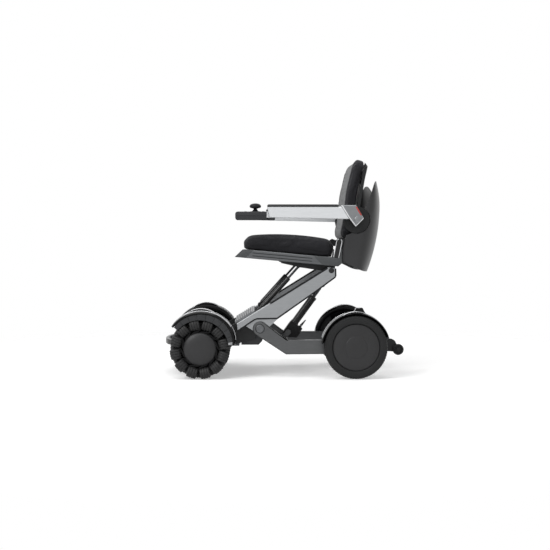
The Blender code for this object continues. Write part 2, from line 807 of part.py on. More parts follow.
def strut_lug_y():
    return STRUT_Y + 0.0145


def heel_plate():
    """Ribbed plate across the arms where the heels rest; the ribs are the teeth of its outline."""
    low = shift(FOLD_PIVOT, -0.0974, 0.0203)
    high = shift(SEAT_PIVOT, -0.013, 0.014)
    pitch, ribs = 0.0098, 9
    points = [along(low, high, 0.090, -0.004), along(low, high, -0.004, -0.004)]
    for i in range(ribs):
        s = i * pitch - 0.004
        points += [
            along(low, high, s, 0.006),
            along(low, high, s + 0.0012, 0.0095),
            along(low, high, s + 0.0062, 0.0095),
            along(low, high, s + 0.0074, 0.006),
        ]
    points.append(along(low, high, 0.090, 0.006))
    thing = plate(points[::-1], 2 * (BRACKET_Y - PLATE / 2 - SEAT_GAP), 0)
    settle(thing, "heel_plate", "rail_grey", "arm")


def control_box():
    """Battery and controller housing slung between the front brackets, with a bevelled tail."""
    at = FOLD_PIVOT
    outline = [
        shift(at, -0.082, -0.070),
        shift(at, -0.006, -0.070),
        shift(at, 0.009, -0.055),
        shift(at, 0.014, -0.032),
        shift(at, 0.002, -0.0255),
        shift(at, -0.082, -0.0255),
    ]
    width = 2 * (BRACKET_Y - PLATE / 2 - SEAT_GAP)
    box = bevel(plate(rounded(outline, 0.006, 2), width, 0), 0.003, 2)
    settle(box, "control_box", "black_plastic", "arm")


def front_brackets():
    """Side plates from the arms' feet to the front axle, each with its stub axle pressed in."""
    for side, sign in SIDES:
        fold = FOLD_PIVOT
        sheet = bevel(
            plate(
                hull(
                    (FRONT_AXLE, 0.028),
                    (shift(fold, -0.085, 0.020), 0.008),
                    (shift(fold, -0.030, 0.026), 0.006),
                    (shift(fold, -0.026, -0.034), 0.010),
                    (shift(fold, -0.0965, -0.058), 0.007),
                ),
                PLATE,
                sign * BRACKET_Y,
            ),
            0.001,
            1,
        )
        stub = rod(STUB_RADIUS, FRONT_AXLE, sign * BRACKET_Y, sign * (FRONT_TRACK / 2 + 0.008), 12)
        fuse(sheet, stub)
        settle(sheet, "front_bracket_" + side, "black_plastic", "arm")


def wheel_point(radius, degrees):
    return shift(FRONT_AXLE, radius * cos(radians(degrees)), radius * sin(radians(degrees)))


def row_star(sign, row, turn):
    """The roller carrier of one row: a disc whose arms reach out between the rollers."""
    core = FRONT_HUB_DIAMETER / 2 - 0.012
    tip = FRONT_WHEEL_DIAMETER / 2 - ROLLER_DIAMETER / 2 + 0.009
    points = []
    for i in range(ROLLERS_PER_ROW):
        middle = (i + 0.5) * 360 / ROLLERS_PER_ROW + turn
        half = YOKE_WIDTH / 2
        ux, uz = cos(radians(middle)), sin(radians(middle))
        for r, side in ((core, -1), (tip, -1), (tip, 1), (core, 1)):
            points.append(shift(FRONT_AXLE, r * ux - side * half * uz, r * uz + side * half * ux))
    return plate(points, YOKE_THICKNESS, sign * (FRONT_TRACK / 2 + row * ROLLER_DIAMETER / 2))


def turned_roller(profile, sign, row, degrees, steps):
    """A profile turned about the tangent line of the wheel that a roller spins on."""
    thing = spun("roller", profile, steps)
    axis = FRONT_WHEEL_DIAMETER / 2 - ROLLER_DIAMETER / 2
    thing.rotation_euler = (0, -radians(degrees), 0)
    thing.location = place(wheel_point(axis, degrees), sign * (FRONT_TRACK / 2 + row * ROLLER_DIAMETER / 2))
    return baked(thing)


def roller(sign, row, degrees):
    """A barrel roller; its crown follows the wheel's rolling circle."""
    out = FRONT_WHEEL_DIAMETER / 2
    half = ROLLER_LENGTH / 2
    shoulder = 0.82 * half
    crown = sqrt(out ** 2 - shoulder ** 2) - (out - ROLLER_DIAMETER / 2)
    face = [(0, half), (0.21 * ROLLER_DIAMETER, half), (crown, shoulder)]
    return turned_roller(face + [(r, -h) for r, h in reversed(face)], sign, row, degrees, 8)


def roller_pin(sign, row, degrees):
    """The pin of one roller, from yoke to yoke."""
    reach = (FRONT_WHEEL_DIAMETER - ROLLER_DIAMETER) / 2 * sin(pi / ROLLERS_PER_ROW)
    profile = [(0, reach), (ROLLER_PIN_RADIUS, reach), (ROLLER_PIN_RADIUS, -reach), (0, -reach)]
    return turned_roller(profile, sign, row, degrees, 6)


def front_wheel(side, sign):
    """Omni wheel: a domed hub carries two rows of ribbed rollers, half a pitch apart, on steel pins."""
    wide = ROLLER_DIAMETER
    hub_r = FRONT_HUB_DIAMETER / 2
    hub = turned(
        [
            (0, wide - 0.0010),
            (0.45 * hub_r, wide - 0.0028),
            (0.80 * hub_r, wide - 0.0085),
            (hub_r, wide - 0.0165),
            (hub_r - 0.008, wide - 0.0195),
            (hub_r - 0.008, -wide + 0.005),
            (hub_r - 0.014, -wide + 0.0015),
            (0, -wide + 0.0015),
        ],
        FRONT_AXLE,
        sign * FRONT_TRACK / 2,
        sign,
        20,
    )
    pitch = 360 / ROLLERS_PER_ROW
    pins, rollers = [], []
    for row, turn in ((1, 0.4 * pitch), (-1, 0.9 * pitch)):
        fuse(hub, row_star(sign, row, turn))
        pins += [roller_pin(sign, row, i * pitch + turn) for i in range(ROLLERS_PER_ROW)]
        rollers += [roller(sign, row, i * pitch + turn) for i in range(ROLLERS_PER_ROW)]
    fuse(hub, gathered(*pins), gathered(*rollers))
    middle = FRONT_TRACK / 2
    cut(hub, rod(STUB_RADIUS + PIN_PLAY, FRONT_AXLE, sign * (middle - 0.060), sign * (middle + 0.010), 16))
    settle(hub, "front_wheel_" + side, "rubber", "front_wheel_" + side)


FENDER_CENTRE = shift(FRONT_AXLE, 0.005, 0.029)
FENDER_SPANS = (0.016 + FRONT_WHEEL_DIAMETER / 2, 0.001 + FRONT_WHEEL_DIAMETER / 2)


def front_fender(side, sign):
    """Arched guard over the omni wheel: inner wall on the bracket, raised cap, and a lip outside."""
    inside = INNER_WIDTH + 0.0014
    outside = FRONT_TRACK / 2 + ROLLER_DIAMETER - 0.001
    section = [
        (sign * inside, -0.030),
        (sign * inside, -0.008),
        (sign * (inside + 0.006), -0.0015),
        (sign * (outside - 0.030), 0.0),
        (sign * outside, -0.0035),
        (sign * outside, -0.0095),
    ]
    guard = arch(section, FENDER_CENTRE, FENDER_SPANS, -6, 149, 15, 0.0024)
    sector = [wheel_point(0.060, 60), wheel_point(0.060, 20)]
    sector += [
        shift(FENDER_CENTRE, 0.118 * cos(radians(a)), 0.102 * sin(radians(a)))
        for a in range(5, 91, 17)
    ]
    stay = plate(hull(*[(p, 0.0) for p in sector]), 0.0024, sign * inside)
    lens = crown(FENDER_CENTRE, FENDER_SPANS, 91, 26, 0.0095)
    fuse(guard, stay, plate(lens, 0.052, sign * (inside + 0.036)))
    settle(guard, "front_fender_" + side, "gloss_black", "arm")


def fender_liner(side, sign):
    """Skirt under the guard's outer lip, moulded in one with radial grooves that part its segments."""
    outside = FRONT_TRACK / 2 + ROLLER_DIAMETER - 0.001
    gap = FRONT_WHEEL_DIAMETER / 2 + 0.003
    count = 9
    steps = 3 * count
    start, end = -5.0, 148.0
    outer, inner = [], []
    for k in range(steps + 1):
        a = radians(start + (end - start) * k / steps)
        spot = shift(FENDER_CENTRE, (FENDER_SPANS[0] - 0.0110) * cos(a), (FENDER_SPANS[1] - 0.0110) * sin(a))
        dx, dz = spot[0] - FRONT_AXLE[0], spot[1] - FRONT_AXLE[1]
        reach = min(gap, hypot(dx, dz) - 0.004)
        away = atan2(dz, dx)
        outer.append(spot)
        inner.append(shift(FRONT_AXLE, reach * cos(away), reach * sin(away)))
    skirt = plate(outer + inner[::-1], 0.004, sign * (outside - 0.0035))
    grooves = []
    for i in range(1, count):
        top, low = outer[3 * i], inner[3 * i]
        line = [along(low, top, -0.02, 0.0006), along(low, top, 0.08, 0.0006),
                along(low, top, 0.08, -0.0006), along(low, top, -0.02, -0.0006)]
        grooves.append(plate(line, 0.002, sign * (outside - 0.0015)))
    cut(skirt, gathered(*grooves))
    settle(skirt, "fender_liner_" + side, "wing_grey", "arm")


def footplate():
    """Ribbed footplate between the front brackets; its nosing is bowed forward in plan."""
    reach = BRACKET_Y - PLATE / 2 - SEAT_GAP
    front_x = FRONT_AXLE[0] - 0.158
    rear_x = FOLD_PIVOT[0] - 0.082 - 0.004
    low, top = 0.129, 0.141
    points = [(front_x, low), (rear_x, low), (rear_x, top)]
    ribs = 14
    pitch = (rear_x - front_x - 0.030) / ribs
    for i in range(ribs):
        x = rear_x - 0.004 - i * pitch
        points += [(x, top), (x - 0.001, top + 0.003), (x - 0.007, top + 0.003), (x - 0.008, top)]
    points += [(front_x + 0.016, top), (front_x + 0.014, top + 0.010), (front_x, top + 0.010)]
    plank = plate(points, 2 * reach, 0)
    work = bmesh.new()
    work.from_mesh(plank.data)
    for share in (-0.82, -0.56, 0.0, 0.56, 0.82):
        everything = work.verts[:] + work.edges[:] + work.faces[:]
        bmesh.ops.bisect_plane(work, geom=everything, plane_co=(0, share * reach, 0), plane_no=(0, 1, 0))
    straight = rear_x - 0.110
    for vert in work.verts:
        ahead = min(max((straight - vert.co.x) / (straight - front_x), 0), 1)
        vert.co.x += 0.063 * ahead * (abs(vert.co.y) / reach) ** 2.85
    work.to_mesh(plank.data)
    work.free()
    settle(baked(plank), "footplate", "rail_grey", "arm")


def strut(side, sign):
    """Gas strut from the arms' front tube to the seat frame; the rod's eye is the open pivot."""
    foot, head = STRUT_FOOT, STRUT_HEAD
    length = hypot(head[0] - foot[0], head[1] - foot[1])
    y = sign * STRUT_Y
    tube = tube_between(along(foot, head, 0.006), along(foot, head, STRUT_TUBE), STRUT_RADIUS, y, 14)
    fuse(tube, rod(0.010, foot, y - 0.005, y + 0.005))
    cut(
        tube,
        rod(STRUT_PIN_RADIUS + PIN_PLAY, foot, y - 0.02, y + 0.02, 12),
        tube_between(along(foot, head, 0.040), along(foot, head, 0.2), STRUT_ROD_RADIUS + PIN_PLAY, y, 10),
    )
    settle(tube, "strut_tube_" + side, "black_plastic", "strut_" + side)
    shaft = tube_between(along(foot, head, 0.090), along(foot, head, length - 0.008), STRUT_ROD_RADIUS, y, 10)
    eye = STRUT_PIN_RADIUS + STRUT_EYE_PLAY
    fuse(shaft, rod(eye + EYE_WALL, head, y - 0.0055, y + 0.0055, 14))
    cut(shaft, rod(eye, head, y - 0.02, y + 0.02, 14))
    settle(shaft, "strut_rod_" + side, "steel", "strut_rod_" + side)


def seat_rail(side, sign):
    """Seat rail with two long grooves outside; its nose is cut back and its tail sweeps up."""
    outline = [
        seat_at(0, 0),
        seat_at(-0.0150, 0.0154),
        seat_at(-0.0109, 0.0397),
        seat_at(-0.0095, 0.0606),
        seat_at(-0.0104, 0.0722),
        seat_at(-0.0064, 0.0716),
        seat_at(-0.0034, 0.0390),
        seat_at(-0.0010, RAIL_HEIGHT),
        seat_at(RAIL_LENGTH - RAIL_NOSE, RAIL_HEIGHT),
        seat_at(RAIL_LENGTH, 0),
    ]
    rail = bevel(plate(outline, BEAM_WIDTH, sign * LANE_Y), 0.002, 1)
    grooves = []
    for n in (0.009, 0.021):
        line = [
            seat_at(RAIL_CAP + 0.004, n),
            seat_at(RAIL_CAP + 0.008, n + 0.005),
            seat_at(RAIL_LENGTH - RAIL_NOSE - RAIL_CAP, n + 0.005),
            seat_at(RAIL_LENGTH - RAIL_NOSE - RAIL_CAP, n),
        ]
        grooves.append(plate(line, 0.006, sign * (FRAME_HALF_WIDTH + 0.001)))
    cut(rail, gathered(*grooves))
    settle(rail, "seat_rail_" + side, "rail_grey", "seat")


def seat_pan():
    """Pressed seat pan lying between the rails, with two stiffening swages."""
    reach = INNER_WIDTH - SEAT_GAP
    top = RAIL_HEIGHT - 0.001
    low = top - PAN_THICKNESS
    points = [seat_at(RAIL_TAIL + 0.006, low), seat_at(RAIL_TAIL + 0.006, top)]
    for s in (0.10, 0.20, 0.30):
        swage = ((0, 0), (0.006, -0.003), (0.026, -0.003), (0.032, 0))
        points += [seat_at(s + ahead, top + rise) for ahead, rise in swage]
    points += [seat_at(RAIL_LENGTH - RAIL_NOSE - 0.006, top), seat_at(RAIL_LENGTH - RAIL_NOSE - 0.006, low)]
    settle(plate(points, 2 * reach, 0), "seat_pan", "black_plastic", "seat")


def seat_bracket(side, sign):
    """Dark side channel under the seat: it holds the seat pivot screw and the strut's upper pin."""
    high = RAIL_HEIGHT - 0.001 - PAN_THICKNESS - SEAT_GAP
    ear = plate(
        hull(
            (SEAT_PIVOT, 0.017),
            (seat_at(0.075, high - 0.008), 0.007),
            (seat_at(0.020, high - 0.008), 0.007),
        ),
        PLATE,
        sign * BRACKET_Y,
    )
    thin = 0.004
    channel = plate(
        hull(
            (seat_at(0.236, high - 0.004), 0),
            (seat_at(0.236, -0.008), 0),
            (STRUT_HEAD, 0.010),
            (shift(SEAT_PIVOT, 0.004, 0.004), 0.012),
            (seat_at(0.012, high - 0.006), 0.004),
        ),
        thin,
        sign * (BRACKET_Y - PLATE / 2 - thin / 2 + 0.0005),
    )
    out = FRAME_HALF_WIDTH + SEAT_GAP
    screw = [
        (0, out + 0.003),
        (0.009, out + 0.003),
        (0.011, out + 0.0015),
        (0.011, out),
        (SEAT_PIN_RADIUS, out),
        (SEAT_PIN_RADIUS, BRACKET_Y),
        (0, BRACKET_Y),
    ]
    pin = rod(STRUT_PIN_RADIUS, STRUT_HEAD, sign * (STRUT_Y - 0.009), sign * BRACKET_Y, 8)
    fuse(ear, channel, turned(screw, SEAT_PIVOT, 0, sign, 12), pin)
    settle(ear, "seat_bracket_" + side, "black_plastic", "seat")


def hinge_lane():
    """Half-width position of the backrest hinge plates, over the rails' outer faces."""
    return FRAME_HALF_WIDTH - HINGE_PLATE / 2


def back_hinge_bracket(side, sign):
    """Slim hinge arm standing on the rail's rear end, with the backrest's pivot pin at its top."""
    top = RAIL_HEIGHT + SEAT_GAP
    outline = hull((BACK_PIVOT, 0.012), (seat_at(0.0235, top), 0), (seat_at(0.0005, top), 0))
    ear = bevel(plate(outline, HINGE_PLATE, sign * hinge_lane()), 0.001, 1)
    out = hinge_lane() + HINGE_PLATE / 2 + 0.002
    inside = upright_lane() - PLATE / 2 - 0.0005
    profile = [(0, out), (0.0095, out), (0.0095, hinge_lane()), (BACK_PIN_RADIUS, hinge_lane()),
               (BACK_PIN_RADIUS, inside), (0, inside)]
    fuse(ear, turned(profile, BACK_PIVOT, 0, sign, 12))
    settle(ear, "back_hinge_bracket_" + side, "silver_frame", "seat")


def upright_lane():
    """Half-width position of the back frame's side plates, just inside the hinge plates."""
    return FRAME_HALF_WIDTH - 0.018


def back_frame():
    """Welded back frame: two side plates, two cross bars, and the hubs that carry the armrests."""
    lane = upright_lane()
    low, high = BACK_CUSHION_THICKNESS + 0.0005, BACK_CUSHION_THICKNESS + BACK_FRAME_DEPTH
    outline = [
        back_at(0.016, -0.002),
        back_at(0.014, 0.016),
        back_at(0.034, low),
        back_at(0.320, low),
        back_at(0.326, high - 0.004),
        back_at(0.020, high),
        back_at(-0.014, 0.020),
        back_at(-0.016, 0.000),
        back_at(0.000, -0.016),
    ]
    first = plate(rounded(outline, 0.006, 2), PLATE, -lane)
    second = plate(rounded(outline, 0.006, 2), PLATE, lane)
    for t in (0.045, 0.285):
        bar = plate(
            [back_at(t, low + 0.0005), back_at(t, high - 0.001), back_at(t + 0.026, high - 0.001),
             back_at(t + 0.026, low + 0.0005)],
            2 * lane,
            0,
        )
        fuse(first, bar)
    fuse(first, second)
    inner = armrest_lane() - ARMREST_WIDTH / 2
    for sign in (-1, 1):
        hub = turned(
            [
                (0, inner + ARMREST_WIDTH + 0.003),
                (0.012, inner + ARMREST_WIDTH + 0.003),
                (0.012, inner + ARMREST_WIDTH + SEAT_GAP),
                (0.008, inner + ARMREST_WIDTH + SEAT_GAP),
                (0.008, inner - SEAT_GAP),
                (HUB_RADIUS, inner - SEAT_GAP),
                (HUB_RADIUS, lane + 0.0035),
                (HUB_RADIUS + 0.034, lane + 0.0035),
                (HUB_RADIUS + 0.034, lane - 0.0005),
                (0, lane - 0.0005),
            ],
            ARMREST_PIVOT,
            0,
            sign,
            16,
        )
        fuse(first, hub)
        cut(first, bore(BACK_PIN_RADIUS + PIN_PLAY, BACK_PIVOT, sign * lane))
    settle(first, "back_frame", "rail_grey", "back")


def armrest_lane():
    return FRAME_HALF_WIDTH + ARMREST_PLAY + ARMREST_WIDTH / 2


def back_panel():
    """Thin moulded shell over the back frame, with rolled edges."""
    near = BACK_CUSHION_THICKNESS + BACK_FRAME_DEPTH + 0.0008
    half = BACK_CUSHION_HALF_WIDTH - 0.020
    mesh = bpy.data.meshes.new("panel")
    rows, columns = 6, 8
    points = []
    for i in range(rows + 1):
        t = 0.030 + (BACK_CUSHION_HEIGHT - 0.040) * i / rows
        for k in range(columns + 1):
            w = -1 + 2 * k / columns
            edge = max(abs(w) - 0.75, 0) / 0.25
            narrow = 1 - 0.10 * (i / rows) ** 2
            x, z = back_at(t, near + 0.002 + 0.006 * (1 - w * w) - 0.0015 * edge)
            points.append((x, w * half * narrow, z))
    wide = columns + 1
    faces = [
        (i * wide + k, i * wide + k + 1, (i + 1) * wide + k + 1, (i + 1) * wide + k)
        for i in range(rows)
        for k in range(columns)
    ]
    mesh.from_pydata(points, [], faces)
    thing = bpy.data.objects.new("panel", mesh)
    bpy.context.scene.collection.objects.link(thing)
    wall = thing.modifiers.new("wall", "SOLIDIFY")
    wall.thickness = 0.003
    wall.offset = 0
    settle(baked(thing), "back_panel", "wing_grey", "back")


def wing(side, sign):
    """Curved wing shell: flat on the back frame's side, rolling round to the rear, with a pointed tip."""
    half = FRAME_HALF_WIDTH - 0.0115
    mesh = bpy.data.meshes.new("wing")
    columns, rows = 10, 7
    inner_y = 0.060
    points = []
    for i in range(columns + 1):
        u = i / columns
        turn = max(u - 0.30, 0) / 0.70
        y = inner_y + (half - inner_y) * cos(turn * pi / 2)
        top = wing_top(u)
        bottom = wing_bottom(u)
        for k in range(rows + 1):
            v = k / rows
            z = bottom + (top - bottom) * v
            front = wing_front(z)
            rear = wing_rear(z)
            reach = min(u / 0.30, 1) * 0.45 + 0.55 * sin(turn * pi / 2)
            points.append((front + (rear - front) * reach, sign * y, z))
    wide = rows + 1
    faces = [
        (i * wide + k, i * wide + k + 1, (i + 1) * wide + k + 1, (i + 1) * wide + k)
        for i in range(columns)
        for k in range(rows)
    ]
    mesh.from_pydata(points, [], faces)
    thing = bpy.data.objects.new("wing", mesh)
    bpy.context.scene.collection.objects.link(thing)
    wall = thing.modifiers.new("wall", "SOLIDIFY")
    wall.thickness = WING_THICKNESS
    wall.offset = 0
    wall.use_even_offset = True
    shell = baked(thing)
    cut(shell, bore(HUB_RADIUS + 0.036, ARMREST_PIVOT, sign * half, 28))
    settle(shell, "back_wing_" + side, "wing_grey", "back")


def wing_front(z):
    """Front edge of the wings in side view."""
    return 0.2385 + 0.112 * max((z - 0.500) / 0.315, 0) ** 1.6


def wing_rear(z):
    """Rear edge of the wings in side view, fullest at two thirds of their height."""
    if z < 0.712:
        return 0.4060 - 0.0530 * ((0.712 - z) / 0.273) ** 2
    return 0.4060 - 0.0190 * ((z - 0.712) / 0.103) ** 2


WING_TOP = ((0.0, 0.590), (0.12, 0.597), (0.24, 0.640), (0.30, 0.690), (0.36, 0.742), (0.42, 0.780),
            (0.50, 0.806), (0.56, 0.815), (0.64, 0.811), (0.78, 0.785), (1.0, 0.740))


def wing_top(u):
    """Upper edge: low at the armrest, steep up to the tip, then falling towards the spine."""
    for (a, low), (b, high) in zip(WING_TOP, WING_TOP[1:]):
        if u <= b:
            return low + (high - low) * (u - a) / (b - a)
    return WING_TOP[-1][1]


def wing_bottom(u):
    return 0.482 - 0.043 * sin(min(u / 0.7, 1) * pi / 2)


def cushion(name, frame_at, depth, half_width, height, crown, draw, bolster, body):
    """A crowned pad from a coarse cage: its sides drawn in between the corners, softened by one step."""
    cells = 5
    layers = ((0.0, 0.985), (0.30, 1.0), (0.72, 1.0), (1.0, 0.965))
    top = len(layers) - 1
    points, index = [], {}

    def node(i, k, layer):
        if (i, k, layer) in index:
            return index[i, k, layer]
        level, shrink = layers[layer]
        a = -1 + 2 * i / cells
        b = -1 + 2 * k / cells
        pull = draw * (1 - b * b) * (abs(a) == 1)
        pull_y = draw * (1 - a * a) * (abs(b) == 1)
        s = depth / 2 + (depth / 2 * shrink - pull) * a
        y = (half_width * shrink - pull_y) * b
        rise = crown * (1 - a ** 2) * (1 - b ** 2) if layer == top else 0.0
        edge = bolster * max(abs(b) - 0.55, 0) / 0.45 if layer == top else 0.0
        x, z = frame_at(s, level * height + rise - edge)
        index[i, k, layer] = len(points)
        points.append((x, y, z))
        return index[i, k, layer]

    def quad(*keys):
        return [node(*key) for key in keys]

    faces = []
    for i in range(cells):
        for k in range(cells):
            for layer in (0, top):
                faces.append(quad((i, k, layer), (i + 1, k, layer), (i + 1, k + 1, layer), (i, k + 1, layer)))
    for layer in range(top):
        for i in range(cells):
            for k in (0, cells):
                faces.append(quad((i, k, layer), (i + 1, k, layer), (i + 1, k, layer + 1), (i, k, layer + 1)))
                faces.append(quad((k, i, layer), (k, i + 1, layer), (k, i + 1, layer + 1), (k, i, layer + 1)))
    mesh = bpy.data.meshes.new(name)
    mesh.from_pydata(points, [], faces)
    work = bmesh.new()
    work.from_mesh(mesh)
    bmesh.ops.recalc_face_normals(work, faces=work.faces)
    work.to_mesh(mesh)
    work.free()
    thing = bpy.data.objects.new(name, mesh)
    bpy.context.scene.collection.objects.link(thing)
    settle(thing, name, "cushion_fabric", body)
    soft = thing.modifiers.new("soft", "SUBSURF")
    soft.levels = 1
    soft.render_levels = 1


def cushions():
    base = RAIL_HEIGHT + 0.0010

    def on_seat(s, n):
        share = s / CUSHION_DEPTH
        return seat_at(s + 0.016, base + n * (1.06 + 0.72 * share - 0.98 * share ** 2))

    def on_back(s, n):
        return back_at(BACK_CUSHION_FOOT + s, BACK_CUSHION_THICKNESS - n)

    cushion(
        "seat_cushion", on_seat, CUSHION_DEPTH, CUSHION_HALF_WIDTH, CUSHION_HEIGHT,
        CUSHION_CROWN, CUSHION_DRAW, BOLSTER_RISE, "seat"
    )
    cushion(
        "back_cushion", on_back, BACK_CUSHION_HEIGHT, BACK_CUSHION_HALF_WIDTH, BACK_CUSHION_THICKNESS,
        -BOLSTER_RISE, CUSHION_DRAW, -BOLSTER_RISE, "back"
    )


def armrest(side, sign):
    """Tapered box-section armrest, its knee plate round the hub, and the pad on top."""
    lane = sign * armrest_lane()
    front = ARMREST_FRONT_X
    top = ARMREST_TOP
    foot = top - ARMREST_HEIGHT
    joint_x = front + ARMREST_LENGTH
    lean = 0.029 / (KNEE_TOP - KNEE_FOOT)
    outline = [
        (front + 0.0085, foot + ARMREST_RISE),
        (joint_x + lean * (KNEE_TOP - foot), foot),
        (joint_x + lean * (KNEE_TOP - top), top),
        (front, top),
    ]
    beam = plate(rounded(outline, 0.002, 2), ARMREST_WIDTH, lane)
    settle(bevel(beam, 0.002, 1), "armrest_" + side, "armrest_silver", "armrest_" + side)
    hub = ARMREST_PIVOT
    near = 2 * SEAT_GAP
    knee = plate(
        rounded(
            [
                (joint_x + near, KNEE_TOP),
                (joint_x + lean * (KNEE_TOP - KNEE_FOOT) + near, KNEE_FOOT),
                shift(hub, -0.008, -0.030),
                shift(hub, 0.026, 0.004),
                shift(hub, -0.006, KNEE_TOP - hub[1]),
            ],
            0.003,
            2,
        ),
        ARMREST_WIDTH,
        lane,
    )
    knee = bevel(knee, 0.002, 1)
    cut(knee, bore(0.008 + PIN_PLAY, hub, lane))
    settle(knee, "armrest_knee_" + side, "rail_grey", "armrest_" + side)
    half = ARMREST_WIDTH / 2 + 0.001
    pad = block(
        (front, joint_x - 0.010),
        (lane - half, lane + half),
        (top + SEAT_GAP, top + PAD_THICKNESS),
    )
    settle(bevel(pad, 0.0035, 2), "armrest_pad_" + side, "black_plastic", "armrest_" + side)


def joystick():
    """Control box ahead of the left armrest: moulded case on its bracket, gimbal, stick and buttons."""
    y = -armrest_lane()
    rear = ARMREST_FRONT_X - 0.0015
    front = rear - JOYSTICK_LENGTH
    half = JOYSTICK_WIDTH / 2
    top = JOYSTICK_TOP
    low = top - JOYSTICK_HEIGHT
    outline = [
        (front, low + 0.012),
        (front + 0.010, low),
        (rear, low),
        (rear, top),
        (front + 0.014, top),
        (front, top - 0.010),
    ]
    case = bevel(plate(rounded(outline, 0.004, 2), JOYSTICK_WIDTH, y), 0.003, 1)
    foot = ARMREST_TOP - ARMREST_HEIGHT + ARMREST_RISE - 0.0015
    tongue = block((rear - 0.02, rear + 0.034), (y - 0.011, y + 0.011), (foot - 0.0115, foot))
    fuse(case, bevel(tongue, 0.002, 1))
    stick_x = rear - 0.0465
    well = vertical_cup(stick_x, y, top - 0.027, top + 0.01, 0.019)
    cut(case, well)
    for x in (rear - 0.014, rear - 0.088):
        cut(case, vertical_cup(x, y, top - 0.007, top + 0.01, BUTTON_RADIUS + PIN_PLAY))
    settle(case, "joystick_housing", "black_plastic", "armrest_left")
    gimbal_z = top - 0.013
    pivot("gimbal", (stick_x, y, gimbal_z), "armrest_left")
    pivot("stick", (stick_x, y, gimbal_z), "gimbal")
    hoop = vertical_ring(stick_x, y, gimbal_z - 0.003, gimbal_z + 0.003, 0.0125, 0.0165)
    settle(hoop, "joystick_gimbal", "steel", "gimbal")
    stem_top = top + STEM_HEIGHT
    knob = KNOB_DIAMETER / 2
    profile = [
        (0, stem_top + KNOB_HEIGHT),
        (0.45 * knob, stem_top + KNOB_HEIGHT - 0.001),
        (0.80 * knob, stem_top + KNOB_HEIGHT - 0.004),
        (0.97 * knob, stem_top + KNOB_HEIGHT - 0.008),
        (knob, stem_top + 0.006),
        (0.97 * knob, stem_top + 0.002),
        (0.80 * knob, stem_top),
        (STEM_RADIUS + 0.002, stem_top - 0.002),
        (STEM_RADIUS, top - 0.004),
        (STEM_RADIUS + 0.003, gimbal_z + 0.004),
        (STEM_RADIUS + 0.003, gimbal_z - 0.004),
        (STEM_RADIUS - 0.001, gimbal_z - 0.009),
        (0, gimbal_z - 0.009),
    ]
    thing = spun("stick", profile, 12)
    thing.location = (stick_x, y, 0)
    settle(baked(thing), "joystick_stick", "rubber", "stick")
    for name, x in (("power", rear - 0.014), ("horn", rear - 0.088)):
        pivot(name, (x, y, top), "armrest_left")
        button = vertical_cup(x, y, top - 0.0035, top + 0.002, BUTTON_RADIUS)
        settle(bevel(button, 0.0008, 1), "joystick_%s_button" % name, "button_grey", name)


def vertical_cup(x, y, z_from, z_to, radius, steps=16):
    """A short upright cylinder."""
    mesh = bpy.data.meshes.new("cup")
    work = bmesh.new()
    bmesh.ops.create_cone(
        work, cap_ends=True, segments=steps, radius1=radius, radius2=radius, depth=z_to - z_from
    )
    work.to_mesh(mesh)
    work.free()
    thing = bpy.data.objects.new("cup", mesh)
    bpy.context.scene.collection.objects.link(thing)
    thing.location = (x, y, (z_from + z_to) / 2)
    return baked(thing)


def vertical_ring(x, y, z_from, z_to, inner, outer):
    profile = [(inner, z_to), (outer, z_to), (outer, z_from), (inner, z_from), (inner, z_to)]
    thing = spun("hoop", profile, 16)
    thing.location = (x, y, 0)
    return baked(thing)


make_pivots()
front_crossmember()
rear_crossmember()
rear_actuator()
arm_crossmembers()
heel_plate()
control_box()
front_brackets()
footplate()
seat_pan()
back_frame()
back_panel()
cushions()
for side, sign in SIDES:
    base_beam(side, sign)
    rear_wheel(side, sign)
    rear_fender(side, sign)
    anti_tip_wheel(side, sign)
    fold_pin(side, sign)
    main_arm(side, sign)
    front_wheel(side, sign)
    front_fender(side, sign)
    fender_liner(side, sign)
    strut(side, sign)
    seat_rail(side, sign)
    seat_bracket(side, sign)
    back_hinge_bracket(side, sign)
    wing(side, sign)
    armrest(side, sign)
joystick()
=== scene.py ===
from math import acos, atan2, cos, hypot, pi, radians, sin, sqrt

import bpy
from mathutils import Matrix, Vector


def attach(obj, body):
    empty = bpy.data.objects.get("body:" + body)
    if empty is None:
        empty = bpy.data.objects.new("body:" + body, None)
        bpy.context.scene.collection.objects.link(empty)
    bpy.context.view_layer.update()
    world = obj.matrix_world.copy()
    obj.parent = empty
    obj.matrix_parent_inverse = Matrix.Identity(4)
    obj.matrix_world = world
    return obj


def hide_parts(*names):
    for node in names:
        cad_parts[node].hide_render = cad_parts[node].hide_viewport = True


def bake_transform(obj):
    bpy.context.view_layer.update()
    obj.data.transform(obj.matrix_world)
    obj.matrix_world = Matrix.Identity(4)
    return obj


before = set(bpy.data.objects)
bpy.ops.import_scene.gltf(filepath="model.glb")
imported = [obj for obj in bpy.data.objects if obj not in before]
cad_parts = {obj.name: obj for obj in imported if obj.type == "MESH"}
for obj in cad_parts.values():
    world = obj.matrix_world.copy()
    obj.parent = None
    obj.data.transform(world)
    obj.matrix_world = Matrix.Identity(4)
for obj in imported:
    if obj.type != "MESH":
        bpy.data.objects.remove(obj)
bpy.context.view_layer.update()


# Camera: level with the seat, 4.2 m from the near wheels' outer faces and square to the chair's side,
# turned a degree to the rear and one and a half down.
bpy.ops.object.camera_add(location=(-0.1165, -4.505, 0.541), rotation=(radians(88.45), 0, radians(-1.0)))
camera = bpy.context.object
camera.name = "camera"
camera.data.lens = 67.7
camera.data.sensor_width = 36
bpy.context.scene.camera = camera
bpy.context.scene.view_settings.view_transform = "Standard"


# Studio: a matt white paper floor under large softboxes, so that the chair stands in a soft shadow
# on white. For the camera and in reflections the paper is lifted to white, but its shadow stays.
PAPER_LIFT = 0.36
PAPER_RADIUS, FADE_START, FADE_END = 2.5, 1.3, 2.4
AIR_LIGHT = 0.30


